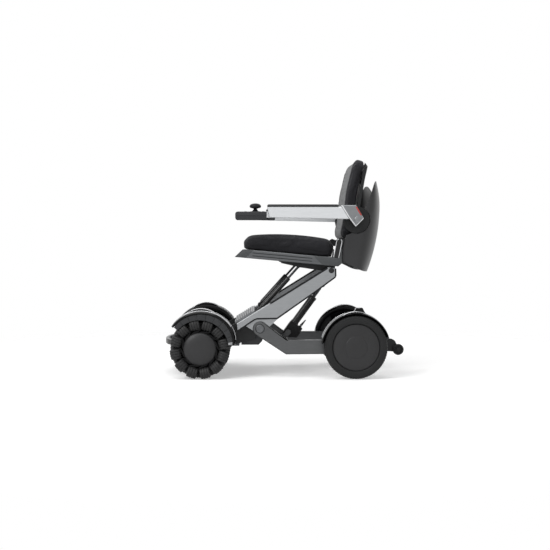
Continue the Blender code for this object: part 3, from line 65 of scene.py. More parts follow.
def linear(code):
    """An sRGB hex colour in linear light."""
    parts = [int(code[i:i + 2], 16) / 255 for i in (1, 3, 5)]
    return (*[c / 12.92 if c <= 0.04045 else ((c + 0.055) / 1.055) ** 2.4 for c in parts], 1.0)


def add(finish, kind, inputs, to=(), out=0, **settings):
    """A node in a material: inputs take values or outputs, and its output feeds the shader's sockets."""
    tree = finish.node_tree
    node = tree.nodes.new(kind)
    for key, value in settings.items():
        setattr(node, key, value)
    for key, value in inputs.items():
        if isinstance(value, bpy.types.NodeSocket):
            tree.links.new(value, node.inputs[key])
        else:
            node.inputs[key].default_value = value
    for key in to:
        tree.links.new(node.outputs[out], tree.nodes["Principled BSDF"].inputs[key])
    return node.outputs[out]


def finish_named(name, colour, metallic, roughness, **sockets):
    """A material named for its real finish; what is even all over is set on the shader itself."""
    finish = bpy.data.materials.new(name)
    finish.use_nodes = True
    shader = finish.node_tree.nodes["Principled BSDF"]
    shader.inputs["Base Color"].default_value = linear(colour)
    shader.inputs["Metallic"].default_value = metallic
    shader.inputs["Roughness"].default_value = roughness
    for key, value in sockets.items():
        shader.inputs[key.replace("_", " ")].default_value = value
    return finish


paper = finish_named("matt_white_paper", "#e6e6e6", 0.0, 0.9)
seen = rays = add(paper, "ShaderNodeLightPath", {})
for kind in ("Is Glossy Ray", "Is Transmission Ray"):
    seen = add(paper, "ShaderNodeMath", {0: seen, 1: rays.node.outputs[kind]}, operation="MAXIMUM")
add(paper, "ShaderNodeMath", {0: seen, 1: PAPER_LIFT}, to=["Emission Strength"], operation="MULTIPLY")
paper.node_tree.nodes["Principled BSDF"].inputs["Emission Color"].default_value = (1, 1, 1, 1)
# The sheet fades out round the chair, where the white air takes over.
spot = add(paper, "ShaderNodeTexCoord", {}, out=3)
away = add(paper, "ShaderNodeVectorMath", {0: spot}, out=1, operation="LENGTH")
add(paper, "ShaderNodeMapRange", {0: away, 1: FADE_START, 2: FADE_END, 3: 1.0, 4: 0.0}, to=["Alpha"],
    interpolation_type="SMOOTHSTEP")
bpy.ops.mesh.primitive_circle_add(vertices=64, radius=PAPER_RADIUS, fill_type="NGON", location=(0, 0, 0))
floor = bpy.context.object
floor.name = "floor"
floor.data.materials.append(paper)

for name, place, turn, size, power in (
    ("softbox_over", (-0.6, -0.6, 3.4), (10, -8, 0), 3.0, 72),
    ("softbox_front_left", (-2.7, -3.0, 2.9), (51, 0, -42), 1.8, 100),
    ("softbox_rear_right", (3.0, 1.6, 2.2), (-20, 60, 0), 2.0, 26),
):
    bpy.ops.object.light_add(type="AREA", location=place, rotation=[radians(a) for a in turn])
    lamp = bpy.context.object
    lamp.name = name
    lamp.data.size = size
    lamp.data.energy = power

# The air is white to the camera, in reflections and through clear things, and dimmer as a light.
world = bpy.data.worlds.new("studio_air")
bpy.context.scene.world = world
world.use_nodes = True
air = world.node_tree
background = air.nodes["Background"]
rays = air.nodes.new("ShaderNodeLightPath")
level = air.nodes.new("ShaderNodeMapRange")
level.inputs["To Min"].default_value = AIR_LIGHT
level.inputs["To Max"].default_value = 1.0
background.inputs["Color"].default_value = (1, 1, 1, 1)
seen = rays.outputs["Is Camera Ray"]
for kind in ("Is Glossy Ray", "Is Transmission Ray"):
    either = air.nodes.new("ShaderNodeMath")
    either.operation = "MAXIMUM"
    air.links.new(seen, either.inputs[0])
    air.links.new(rays.outputs[kind], either.inputs[1])
    seen = either.outputs[0]
air.links.new(seen, level.inputs["Value"])
air.links.new(level.outputs["Result"], background.inputs["Strength"])


# Base beams: aluminium box extrusions, satin anodised. Each is forked round the fold pin at its
# front and carries the motor's fixed axle; a black rubber strip closes its top and bottom edges.
FOLD_PIVOT = (-0.104, 0.203)
SEAT_PIVOT = (0.1915, 0.444)
REAR_AXLE = (0.2895, 0.130)
BEAM_LANE, BEAM_WIDTH = 0.220, 0.030
outer, inner = BEAM_LANE + BEAM_WIDTH / 2, BEAM_LANE - BEAM_WIDTH / 2
SIDES = (("left", -1), ("right", 1))


def surfaced(name, colour, metallic, roughness, tones, grain=None, cells=None, brushed=None, cloud=None,
             rough=None, bump=None, **sockets):
    """A finish with its pattern. The grain is noise of a scale and detail, or else cells of a scale and
    randomness, turned and stretched where it is brushed, and a cloud is broader noise. The colour runs
    from tone to tone, with a third one as dust; rough gives the pattern's span and two roughnesses."""
    finish = finish_named(name, colour, metallic, roughness, **sockets)
    spot = place = add(finish, "ShaderNodeTexCoord", {}, out=3)
    if brushed:
        place = add(finish, "ShaderNodeMapping", {0: spot, 2: (0, radians(brushed[0]), 0), 3: brushed[1]})
    if cells:
        fine = add(finish, "ShaderNodeTexVoronoi", {0: place, "Scale": cells[0], "Randomness": cells[1]})
    else:
        fine = add(finish, "ShaderNodeTexNoise", {0: place, "Scale": grain[0], "Detail": grain[1]})
    broad = fine
    if cloud:
        broad = add(finish, "ShaderNodeTexNoise", {0: spot, "Scale": cloud[0], "Detail": cloud[1]})
    dark, light, *dust = [linear(tone) for tone in tones]
    if dust:
        dark = add(finish, "ShaderNodeMix", {0: fine, 6: dark, 7: light}, out=2, data_type="RGBA")
        light = dust[0]
    add(finish, "ShaderNodeMix", {0: fine if brushed else broad, 6: dark, 7: light}, to=["Base Color"],
        out=2, data_type="RGBA")
    if rough:
        add(finish, "ShaderNodeMapRange", {0: broad, **dict(enumerate(rough, 1))}, to=["Roughness"])
    if bump:
        add(finish, "ShaderNodeBump", {0: bump[0], 1: bump[1], "Height": fine}, to=["Normal"])
    return finish


def shift(at, dx, dz):
    return (at[0] + dx, at[1] + dz)


def shifted(at, *steps):
    """Points given by their steps from one point."""
    return [shift(at, *step) for step in steps]


def polar(centre, radius, degrees):
    return shift(centre, radius * cos(radians(degrees)), radius * sin(radians(degrees)))


def along(start, end, distance, offset=0.0):
    """A point at a distance along a line in side view, set off to its left."""
    dx, dz = end[0] - start[0], end[1] - start[1]
    length = hypot(dx, dz)
    ux, uz = dx / length, dz / length
    return (start[0] + ux * distance - uz * offset, start[1] + uz * distance + ux * offset)


def chosen(piece):
    """Selects one piece alone."""
    bpy.ops.object.select_all(action="DESELECT")
    piece.select_set(True)
    bpy.context.view_layer.objects.active = piece


def chain(name, points):
    """Edges drawn from one vertex through the points; the piece stays in edit mode, all selected."""
    bpy.ops.object.select_all(action="DESELECT")
    bpy.ops.mesh.primitive_plane_add(size=0.001, location=points[0])
    piece = bpy.context.object
    piece.name = piece.data.name = name
    bpy.ops.object.transform_apply()
    bpy.ops.object.mode_set(mode="EDIT")
    bpy.ops.mesh.merge(type="CENTER")
    for here, there in zip(points, points[1:]):
        step = [b - a for a, b in zip(here, there)]
        bpy.ops.mesh.extrude_region_move(TRANSFORM_OT_translate={"value": step})
    bpy.ops.mesh.select_all(action="SELECT")
    return piece


def faced_out():
    """Turns all faces of the piece in edit mode outwards and leaves edit mode."""
    bpy.ops.mesh.select_all(action="SELECT")
    bpy.ops.mesh.normals_make_consistent(inside=False)
    bpy.ops.object.mode_set(mode="OBJECT")


def applied(piece, kind, **settings):
    """One modifier, set and applied."""
    modifier = piece.modifiers.new(kind.lower(), kind)
    for key, value in settings.items():
        setattr(modifier, key, value)
    chosen(piece)
    bpy.ops.object.modifier_apply(modifier=modifier.name)


def bevelled(piece, width, segments, sharp):
    """Rounds the edges that are sharper than an angle."""
    applied(piece, "BEVEL", width=width, segments=segments, limit_method="ANGLE", angle_limit=radians(sharp))


def plated(name, outline, near, far, rounding=0.001, segments=2, sharp=35):
    """A side-view outline filled and drawn out from one y to another, with its edges rounded."""
    piece = chain(name, [(x, near, z) for x, z in outline])
    bpy.ops.mesh.edge_face_add()
    bpy.ops.mesh.extrude_region_move(TRANSFORM_OT_translate={"value": (0, far - near, 0)})
    faced_out()
    if rounding:
        bevelled(piece, rounding, segments, sharp)
    return piece


def turned(name, profile, centre, axis, steps=64, closed=False):
    """A profile of (radius, distance along the axis), spun a full turn round the axis."""
    centre, axis = Vector(centre), Vector(axis).normalized()
    out = axis.orthogonal().normalized()
    rows = profile + [profile[0]] if closed else profile
    piece = chain(name, [centre + out * r + axis * h for r, h in rows])
    bpy.ops.mesh.spin(steps=steps, angle=2 * pi, center=centre, axis=axis)
    bpy.ops.mesh.select_all(action="SELECT")
    bpy.ops.mesh.remove_doubles(threshold=0.000005)
    faced_out()
    return piece


def joined(name, *pieces):
    """Several shapes that are fixed together, made one piece."""
    chosen(pieces[0])
    for piece in pieces:
        piece.select_set(True)
    if len(pieces) > 1:
        bpy.ops.object.join()
    pieces[0].name = pieces[0].data.name = name
    return pieces[0]


def hang(piece, body, slot, finish, *stands_for, sharp=35):
    """Gives a piece its finish, softens its shading and hangs it on its body, where it has just one."""
    chosen(piece)
    bpy.ops.object.shade_smooth_by_angle(angle=radians(sharp))
    piece.data.materials.clear()
    piece.data.materials.append(finish)
    if body:
        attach(piece, body)
    if stands_for:
        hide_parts(*stands_for)


def paint(finish, *nodes):
    """A carried-over solid keeps its shape and gets a new finish in its material slots."""
    for node in nodes:
        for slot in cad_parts[node].material_slots:
            slot.material = finish


def band(path, inside, outside):
    """A strip along a path in side view, from one distance on its left to another on its right."""
    left, right = [], []
    for i, here in enumerate(path):
        before = path[max(i - 1, 0)]
        after = path[min(i + 1, len(path) - 1)]
        dx, dz = after[0] - before[0], after[1] - before[1]
        length = hypot(dx, dz)
        stretch = 1.0
        if 0 < i < len(path) - 1:
            bend = abs(atan2(dz, dx) - atan2(here[1] - before[1], here[0] - before[0]))
            stretch = 1 / max(cos(min(bend, 2 * pi - bend)), 0.5)
        nx, nz = -dz / length * stretch, dx / length * stretch
        left.append(shift(here, nx * inside, nz * inside))
        right.append(shift(here, -nx * outside, -nz * outside))
    return left + right[::-1]


def strips(name, paths, inside, outside, near, far, rounding):
    """Strips along several paths, made one piece."""
    return joined(name, *[plated("strip", band(path, inside, outside), near, far, rounding, 1)
                          for path in paths])


# Satin anodised aluminium: a grey metal with fine brushed lines that run along the extrusion, darker
# on the beams than on the arms. The lines are drawn 0.8 mm apart, coarser than real, so that they show.
beam_grey, plate_grey, satin = [
    surfaced(name, dark, 1.0, 0.40, (dark, light), (1, 4), brushed=(slope, (30, 300, 1200)), cloud=(9, 2),
             rough=(0.3, 0.7, 0.36, 0.46), bump=(0.06, 0.0003))
    for name, slope, dark, light in (("grey_satin_anodised_beam", 0, "#4e4f50", "#606162"),
                                     ("grey_satin_anodised_plate", 60, "#76787a", "#8a8c8e"),
                                     ("satin_anodised_aluminium", 33, "#86888a", "#9c9ea0"))]
paint(beam_grey, "base_beam_left", "base_beam_right")
# Black EPDM rubber: dull, nearly black. Its fine moulding grain is drawn at 1.1 mm, so that it shows.
rubber_strip = surfaced("epdm_rubber_strip", "#17181a", 0.0, 0.62, ("#121314", "#1f2022"), (900, 3),
                        bump=(0.15, 0.0003), Specular_IOR_Level=0.2)

beam_low = (FOLD_PIVOT[0] + 0.1075, 0.096)
beam_high = (beam_low[0] + 0.005, 0.156)
beam_tail = REAR_AXLE[0] + 0.052
KNUCKLE_RADIUS = 0.030
beam_edges = (
    [polar(FOLD_PIVOT, KNUCKLE_RADIUS, 48), *shifted(beam_high, (-0.004, 0.0025), (0.006, 0)),
     (beam_tail, beam_high[1])],
    [(beam_tail, beam_low[1]), *shifted(beam_low, (0.006, 0), (-0.005, 0.0032)),
     polar(FOLD_PIVOT, KNUCKLE_RADIUS, 238)])
for side, sign in SIDES:
    strip = strips("beam_strip_" + side, beam_edges, -0.003, 0.0034, sign * (inner - 0.0005),
                   sign * (outer + 0.0006), 0.0005)
    hang(strip, "base", "rubber", rubber_strip)


# Cross parts of the base: a satin silver box that carries the rear actuator's foot, and behind it a
# powder-coated steel tube with the two trailing anti-tip arms. The coat's orange peel has cells of
# about 1.2 mm.
powder = surfaced("black_powder_coat_on_steel", "#1d1e20", 0.0, 0.48, ("#131415", "#1c1d1e"), (800, 2),
                  bump=(0.12, 0.0003), Specular_IOR_Level=0.3)
paint(beam_grey, "front_crossmember")
paint(powder, "rear_crossmember")


# Anti-tip wheels: small solid rubber castor tyres on a nylon hub, each on a bolt in the arm's end.
# Moulded rubber is dull and a little dusty, its grain drawn coarser than real, at 1.7 mm; zinc plating
# is bright, in faint flakes of 2.5 mm.
ANTI_TIP_AXLE = (0.4845, 0.105)
ANTI_TIP_Y, ANTI_TIP_RADIUS, ANTI_TIP_HALF = 0.120, 0.0235, 0.009
tyre_black = surfaced("moulded_tyre_rubber", "#1b1c1d", 0.0, 0.72, ("#1d1e1f", "#262728", "#2b2b2b"),
                      (600, 4), cloud=(22, 3), rough=(0.3, 0.7, 0.66, 0.8), bump=(0.2, 0.0004),
                      Specular_IOR_Level=0.22)
zinc = surfaced("bright_zinc_plated_steel", "#b9babc", 1.0, 0.28, ("#a9aaac", "#c6c7c9"), (400, 3),
                rough=(0, 1, 0.22, 0.36))


def two_faced(face, *middle):
    """A wheel's section whose second half mirrors the first, with the points between them."""
    return face + [*middle] + [(r, -h) for r, h in face[::-1]]


anti_tip_tread = two_faced(
    shifted((0, ANTI_TIP_HALF), (0.014, -0.0026), (0.0152, -0.001), (0.0185, -0.0004))
    + shifted((ANTI_TIP_RADIUS, ANTI_TIP_HALF), (-0.0032, -0.0014), (-0.001, -0.004), (0, -0.007)))
anti_tip_tread += [(0.0128, -ANTI_TIP_HALF + 0.004), (0.0128, ANTI_TIP_HALF - 0.004)]
anti_tip_hub = two_faced(shifted((0, ANTI_TIP_HALF), (0.0046, 0), (0.0085, 0), (0.0092, -0.0008),
                                 (0.0096, -0.003), (0.0125, -0.0034), (0.0128, -0.0046)))
for side, sign in SIDES:
    at = (ANTI_TIP_AXLE[0], sign * ANTI_TIP_Y, ANTI_TIP_AXLE[1])
    body = "anti_tip_wheel_" + side
    tyre = turned("anti_tip_tyre_" + side, anti_tip_tread, at, (0, sign, 0), 48, closed=True)
    hang(tyre, body, "rubber", tyre_black, body)
    hub = turned("anti_tip_hub_" + side, anti_tip_hub, at, (0, sign, 0), 40, closed=True)
    hang(hub, body, "black_plastic", powder)


# Rear wheels: a solid rubber tyre with fine tread blocks on a hub-motor drum, whose outer side is a
# dished disc of moulded plastic that turns with the tyre.
REAR_Y, REAR_RADIUS, REAR_HALF, RIM = 0.274, 0.130, 0.030, 0.0965
TREAD_BLOCKS = 72
BLOCK_SHARE = 0.36
MOTOR_BOLTS, BOLT_CIRCLE = 6, 0.072
# Moulded ABS: spark-eroded grain, 0.6 mm in the real disc and drawn at 1.4 mm.
moulded = surfaced("moulded_charcoal_abs", "#3b3c3e", 0.0, 0.42, ("#282829", "#303031"), cells=(700, 1),
                   cloud=(14, 2), rough=(0.3, 0.7, 0.38, 0.47), bump=(0.10, 0.0003), Specular_IOR_Level=0.3)
# Die-cast alloy under black paint: faintly metallic, with the casting's 2 mm grain.
cast = surfaced("die_cast_motor_alloy_black", "#232426", 0.35, 0.46, ("#161718", "#202122"), (500, 4),
                bump=(0.18, 0.0004), Specular_IOR_Level=0.25)


def copied(piece):
    """A copy with its own mesh."""
    twin = piece.copy()
    twin.data = piece.data.copy()
    bpy.context.scene.collection.objects.link(twin)
    return twin


def turn_copy(piece, centre, degrees):
    """A copy turned round a cross axis."""
    twin = copied(piece)
    pin = Vector((centre[0], 0, centre[1]))
    turn = Matrix.Rotation(radians(-degrees), 4, "Y")
    twin.data.transform(Matrix.Translation(pin) @ turn @ Matrix.Translation(-pin))
    return twin


def hang_both(piece, body, slot, finish, *stands_for, sharp=35):
    """Hangs a left piece, and on the right the same mesh mirrored across the chair, facing out again."""
    twin = copied(piece)
    twin.name = twin.data.name = piece.name.replace("left", "right")
    twin.data.transform(Matrix.Diagonal((1, -1, 1, 1)))
    twin.data.flip_normals()
    hang(piece, body, slot, finish, *stands_for, sharp=sharp)
    hang(twin, body.replace("left", "right"), slot, finish,
         *[node.replace("left", "right") for node in stands_for], sharp=sharp)


left = -1
at = (REAR_AXLE[0], left * REAR_Y, REAR_AXLE[1])
carcass = shifted((RIM, REAR_HALF), (0.0003, -0.007), (0.0012, -0.0046), (0.004, -0.002), (0.011, -0.0004),
                  (0.019, -0.0006), (0.0245, -0.0016), (0.0252, -0.0026))
carcass += shifted((REAR_RADIUS, REAR_HALF), (-0.0068, -0.0036), (-0.0042, -0.0076), (-0.0026, -0.014))
tyre = turned("rear_tyre", two_faced(carcass, (REAR_RADIUS - 0.002, 0.0)), at, (0, left, 0), 96, closed=True)
blocks = []
pitch = 360 / TREAD_BLOCKS
half = BLOCK_SHARE * (REAR_RADIUS * radians(pitch))
# Three rows: the shoulder rows reach down the sides and stand half a pitch on from the middle one.
for start, end, crest, root, swing in ((0.0125, 0.029, REAR_RADIUS - 0.001, REAR_RADIUS - 0.019, 0.5),
                                       (-0.0105, 0.0105, REAR_RADIUS, REAR_RADIUS - 0.006, 0.0),
                                       (-0.029, -0.0125, REAR_RADIUS - 0.001, REAR_RADIUS - 0.019, 0.5)):
    block = shifted(REAR_AXLE, (-half, root), (-0.8 * half, crest), (0.8 * half, crest), (half, root))
    knob = plated("knob", block, left * REAR_Y + start, left * REAR_Y + end, 0.0004, 1)
    for v in knob.data.vertices:
        if abs(v.co.y - left * REAR_Y) > 0.022 and v.co.z > REAR_AXLE[1] + crest - 0.002:
            v.co.z -= 0.0042
    blocks += [turn_copy(knob, REAR_AXLE, (k + swing) * pitch) for k in range(TREAD_BLOCKS)]
    bpy.data.objects.remove(knob)
tyre = joined("rear_tyre_left_treaded", tyre, *blocks)
hang_both(tyre, "rear_wheel_left", "tyre", tyre_black, "rear_tyre_left", sharp=30)

disc = shifted((0, REAR_HALF), (0, -0.0016), (0.0425, -0.002), (0.0446, -0.0024), (0.0456, -0.0034),
               (0.0474, -0.003), (0.06, -0.0032), (0.076, -0.0042), (0.0905, -0.006), (0.094, -0.007),
               (0.0951, -0.0084), (0.0951, -0.0104), (0, -0.0104))
hang_both(turned("rear_disc_left", disc, at, (0, left, 0), 96), "rear_wheel_left", "hub_grey", moulded)
rim = shifted((0, REAR_HALF), (0.0922, -0.0124), (0.0936, -0.0112), (0.0956, -0.0108), (0.0962, -0.012))
rim += shifted((0, -REAR_HALF), (0.0962, 0.01), (0.085, 0.003), (0.0835, 0.0022), (0.06, 0.0006),
               (0.05, -0.0004), (0.03, -0.0004), (0.029, 0.001), (0.0262, 0.006), (0.0104, 0.006))
rim += [(0.0104, -0.011), (0, -0.011), (0, 0.015), (0.09, 0.015)]
hang_both(turned("rear_rim_left", rim, at, (0, left, 0), 96, closed=True), "rear_wheel_left", "hub_grey",
          cast, "rear_wheel_left")
bolts = []
head = shifted((0, -REAR_HALF), (0, -0.0004), (0.003, -0.0004), (0.0036, 0.0006), (0.0036, 0.004), (0, 0.004))
for k in range(MOTOR_BOLTS):
    x, z = polar(REAR_AXLE, BOLT_CIRCLE, 360 / MOTOR_BOLTS * k + 15)
    bolts.append(turned("bolt", head, (x, left * REAR_Y, z), (0, left, 0), 16))
hang_both(joined("rear_motor_bolts_left", *bolts), "rear_wheel_left", "steel", zinc)


# Rear fenders: close-fitting guards thermoformed in gloss black plastic, with a stay plate on the
# beam, a low lens on top and a bright bead along the inner shoulder.
FENDER_IN = 0.2366
LENS_TURN = 26
# Gloss black ABS mirrors the room in soft ripples of 6 mm, and faint scuffs dull it in 40 mm patches.
gloss = surfaced("gloss_black_abs", "#0d0d0e", 0.0, 0.16, ("#060607", "#0e0e0f"), (160, 2), cloud=(25, 5),
                 rough=(0.35, 0.75, 0.12, 0.26), bump=(0.05, 0.0005), Specular_IOR_Level=0.15)
# Polished stainless strip: nearly a mirror, rubbed duller in spots of about a centimetre.
chrome = surfaced("polished_stainless_strip", "#dcdddf", 1.0, 0.14, ("#d2d3d5", "#e6e7e9"), (90, 6),
                  rough=(0.3, 0.8, 0.10, 0.24))


def sheeted(name, across, lengthways, place):
    """A grid whose vertices are set one by one from their place on it, for a shell curved two ways."""
    bpy.ops.object.select_all(action="DESELECT")
    bpy.ops.mesh.primitive_grid_add(x_subdivisions=across, y_subdivisions=lengthways, size=1)
    piece = bpy.context.object
    piece.name = piece.data.name = name
    for v in piece.data.vertices:
        v.co = place(v.co.x + 0.5, v.co.y + 0.5)
    return piece


def walled(piece, thickness, rounding):
    """Gives a sheet its wall and rounds the wall's edges."""
    applied(piece, "SOLIDIFY", thickness=thickness, offset=0, use_even_offset=True)
    bevelled(piece, rounding, 2, 50)
    bpy.ops.object.mode_set(mode="EDIT")
    faced_out()
    return piece


def section_at(section, u):
    """A point on a cross-section given as a list of (y, lift), evenly by its index."""
    step = min(int(u * (len(section) - 1)), len(section) - 2)
    t = u * (len(section) - 1) - step
    a, b = section[step], section[step + 1]
    return (a[0] + (b[0] - a[0]) * t, a[1] + (b[1] - a[1]) * t)


guard_section = shifted(
    (FENDER_IN, 0), (0, -0.0105), (0, -0.003), (0.0004, 0.0044), (0.0016, 0.0076), (0.0042, 0.0096),
    (0.009, 0.0103), (0.02, 0.0105), (0.033, 0.0106), (0.047, 0.0104), (0.054, 0.0096), (0.058, 0.008))


def on_rear_guard(u, v):
    y, lift = section_at(guard_section, u)
    x, z = polar(REAR_AXLE, REAR_RADIUS + lift, 16 + 158 * v)
    return (x, left * y, z)


guard = walled(sheeted("guard", 20, 72, on_rear_guard), 0.0022, 0.0007)
stay = [polar(REAR_AXLE, REAR_RADIUS - 0.005, 55 + 70 * k / 16) for k in range(17)]
stay += [polar(REAR_AXLE, 0.034, 165 + 210 * k / 20) for k in range(21)]
stay = plated("stay", stay, left * (FENDER_IN - 0.0011), left * (FENDER_IN + 0.0011), 0.0004, 1)


def on_arch(centre, spans, degrees, lift):
    """A point above a guard's arch."""
    return shift(centre, (spans[0] + lift) * cos(radians(degrees)), (spans[1] + lift) * sin(radians(degrees)))


def crowned(centre, spans, middle, lift, steps=28):
    """Side outline of a low lens that follows a guard's arch and rises towards its middle."""
    shares = [-1 + 2 * k / steps for k in range(steps + 1)]
    upper = [on_arch(centre, spans, middle + LENS_TURN * share, lift * cos(share * pi / 2) + 0.0006)
             for share in shares]
    lower = [on_arch(centre, spans, middle + LENS_TURN * share, -0.0006) for share in shares]
    return upper + lower[::-1]


def arched(centre, spans, start, end, lift, steps=36):
    """Points along a guard's arch, a lift above its middle skin."""
    return [on_arch(centre, spans, start + (end - start) * k / steps, lift) for k in range(steps + 1)]


top = REAR_RADIUS + 0.010
spans = (top, top)
outline = crowned(REAR_AXLE, spans, 90, 0.0052)
lens = plated("lens", outline, left * (FENDER_IN + 0.005), left * (FENDER_IN + 0.047), 0.0012, 3, 60)
hang_both(joined("rear_guard_left", guard, stay, lens), "base", "gloss_black", gloss, "rear_fender_left")
trim = []
for path, y, tall, wide in ((arched(REAR_AXLE, spans, 106, 165, 0.0026), 0.0040, 0.0014, 0.0030),
                            (arched(REAR_AXLE, spans, 18, 70, 0.0026), 0.0040, 0.0010, 0.0030),
                            (outline[2:27], 0.0466, 0.0008, 0.0010)):
    trim.append(plated("trim", band(path, tall, tall), left * (FENDER_IN + y), left * (FENDER_IN + y + wide),
                       0.0004, 1))
hang_both(joined("rear_guard_trim_left", *trim), "base", "steel", chrome)
# The left guard carries the charging socket's block, with a bright line down its front slope.
crest = shift(REAR_AXLE, 0, top)
block = shifted(crest, (0.038, 0), (0.0282, 0.0196), (0.0258, 0.022), (0.0024, 0.022), (0.0004, 0.02),
                (-0.01, 0))
block = plated("socket_block_left", block, left * (FENDER_IN + 0.009), left * (FENDER_IN + 0.043), 0.0018, 3)
hang(block, "base", "gloss_black", gloss)
slope = band(shifted(crest, (-0.0122, 0.001), (0.0004, 0.0216), (0.02, 0.0222)), 0.0008, 0.0008)
slope = plated("socket_block_line_left", slope, left * (FENDER_IN + 0.0405), left * (FENDER_IN + 0.0432),
               0.0003, 1)
hang(slope, "base", "steel", chrome)


# Fold pins: turned steel pins with a domed cap outside the beam's fork and a nut inside. A rubber
# ring seals the cap, which has the rails' gunmetal finish, brushed along the rails' slope in lines
# that are drawn 0.9 mm apart, so that they show.
gunmetal = surfaced("gunmetal_anodised_extrusion", "#5f6163", 1.0, 0.40, ("#58595b", "#6a6c6e"), (1, 3),
                    brushed=(5.3, (20, 400, 1100)), bump=(0.08, 0.0003))
fold_pin = shifted((0, outer), (0, 0.0026), (0.0052, 0.0026), (0.006, 0.003), (0.0132, 0.004),
                   (0.0152, 0.0036), (0.0166, 0.0024), (0.017, 0.0012), (0.017, 0.0003), (0.01, 0.0003))
fold_pin += shifted((0, inner), (0.01, -0.0003), (0.015, -0.0003), (0.015, -0.005), (0.014, -0.006),
                    (0, -0.006))
seal = shifted((0, outer), (0.0176, 0.0001), (0.0176, 0.0014), (0.0186, 0.0014), (0.019, 0.0008),
               (0.019, 0.0001))
for side, sign in SIDES:
    at = (FOLD_PIVOT[0], 0, FOLD_PIVOT[1])
    pin = turned("fold_cap_" + side, fold_pin, at, (0, sign, 0), 64)
    ring = turned("fold_cap_seal_" + side, seal, at, (0, sign, 0), 64, closed=True)
    hang(pin, "base", "rail_grey", gunmetal, "fold_pin_" + side)
    hang(ring, "base", "rubber", rubber_strip)


# Main arms: wide aluminium extrusions, satin anodised, from the front axle up to the seat's pivot.
# Black rubber strips close their edges, and a thin tongue under the step runs in the beam's fork.
paint(satin, "main_arm_left", "main_arm_right")
foot_top, foot_low, step_front, step_rear = shifted(
    FOLD_PIVOT, (-0.0974, 0.0203), (-0.0944, -0.0137), (-0.0164, 0.0383), (0.0726, 0.0403))
*head, crown = shifted(SEAT_PIVOT, (-0.064, -0.089), (0.017, -0.03), (0.0205, -0.0215), (0.0198, 0.0075),
                       (-0.013, 0.014))
arm_edges = (
    [along(foot_low, step_front, 0.004), *shifted(step_front, (-0.006, -0.0032), (0.004, 0.0004)),
     step_rear, *head],
    [along(crown, foot_top, 0.004), along(crown, foot_top, 0.284)])
for side, sign in SIDES:
    strip = strips("arm_strip_" + side, arm_edges, 0.0058, 0.0004, sign * (inner - 0.0005),
                   sign * (outer + 0.0007), 0.0005)
    hang(strip, "arm", "rubber", rubber_strip)


# Cross tubes between the arms: steel tube with welded lugs for the gas struts and the actuator,
# powder-coated, with a pin through each pair of lugs.
STRUT_FOOT, STRUT_HEAD, STRUT_Y = (-0.1025, 0.281), (0.0635, 0.466), 0.180
ACTUATOR_FOOT, ACTUATOR_HEAD = (0.0185, 0.172), (0.1685, 0.378)
front_tube = shift(FOLD_PIVOT, 0.0100, 0.0490)
rear_tube = shift(SEAT_PIVOT, -0.0120, -0.0360)


def lobe(first, first_radius, second, second_radius, steps=20):
    """The outline round two circles, as of a lug or a link."""
    dx, dz = second[0] - first[0], second[1] - first[1]
    lean = atan2(dz, dx)
    open_by = acos((first_radius - second_radius) / hypot(dx, dz))
    points = []
    for centre, radius, start, turn in ((first, first_radius, lean + open_by, 2 * pi - 2 * open_by),
                                        (second, second_radius, lean - open_by, 2 * open_by)):
        for k in range(steps + 1):
            a = start + turn * k / steps
            points.append(shift(centre, radius * cos(a), radius * sin(a)))
    return points


def bar(name, radius, at, near, far, steps=48, chamfer=0.0006):
    """A round bar across the chair with chamfered ends."""
    low, high = min(near, far), max(near, far)
    profile = [(0, high), (radius - chamfer, high), (radius, high - chamfer), (radius, low + chamfer),
               (radius - chamfer, low), (0, low)]
    return turned(name, profile, (at[0], 0, at[1]), (0, 1, 0), steps)


reach = inner - 0.0003
shapes = [bar("tube", 0.014, front_tube, -reach, reach)]
for sign in (-1, 1):
    y = sign * (STRUT_Y + 0.0145)
    shapes.append(plated("lug", lobe(STRUT_FOOT, 0.010, front_tube, 0.011), y - 0.00225, y + 0.00225, 0.0006))
    shapes.append(bar("pin", 0.004, STRUT_FOOT, sign * (STRUT_Y - 0.009), y, 24))
hang(joined("front_cross_tube", *shapes), "arm", "rail_grey", powder, "arm_front_crossmember")
shapes = [bar("tube", 0.010, rear_tube, -reach, reach)]
for y in (-0.0125, 0.0125):
    shapes.append(plated("ear", lobe(rear_tube, 0.012, ACTUATOR_HEAD, 0.010), y - 0.003, y + 0.003, 0.0006))
shapes.append(bar("pin", 0.005, ACTUATOR_HEAD, -0.014, 0.014, 24))
hang(joined("rear_cross_tube", *shapes), "arm", "rail_grey", powder, "arm_rear_crossmember")


# Heel plate and brackets: the ribbed plate is an extrusion in bright silver, the side plates are
# laser-cut steel, powder-coated black, with the front wheels' stub axles pressed in.
# Bright metal brushed across the chair, in lines that are drawn 2 mm apart, so that they show.
ribbed = surfaced("anodised_ribbed_plate", "#8c8e90", 1.0, 0.38, ("#6e7072", "#888a8c"), (1, 3),
                  brushed=(0, (500, 12, 500)), rough=(0, 1, 0.30, 0.44))
paint(ribbed, "heel_plate")
paint(powder, "front_bracket_left", "front_bracket_right")


# Control box: the battery and its controller in a two-part case of grained black plastic. A bead
# runs along the parting line, and bright strips guard its front corners.
FRONT_AXLE = (-0.3505, 0.124)
BOX_HALF = 0.1964
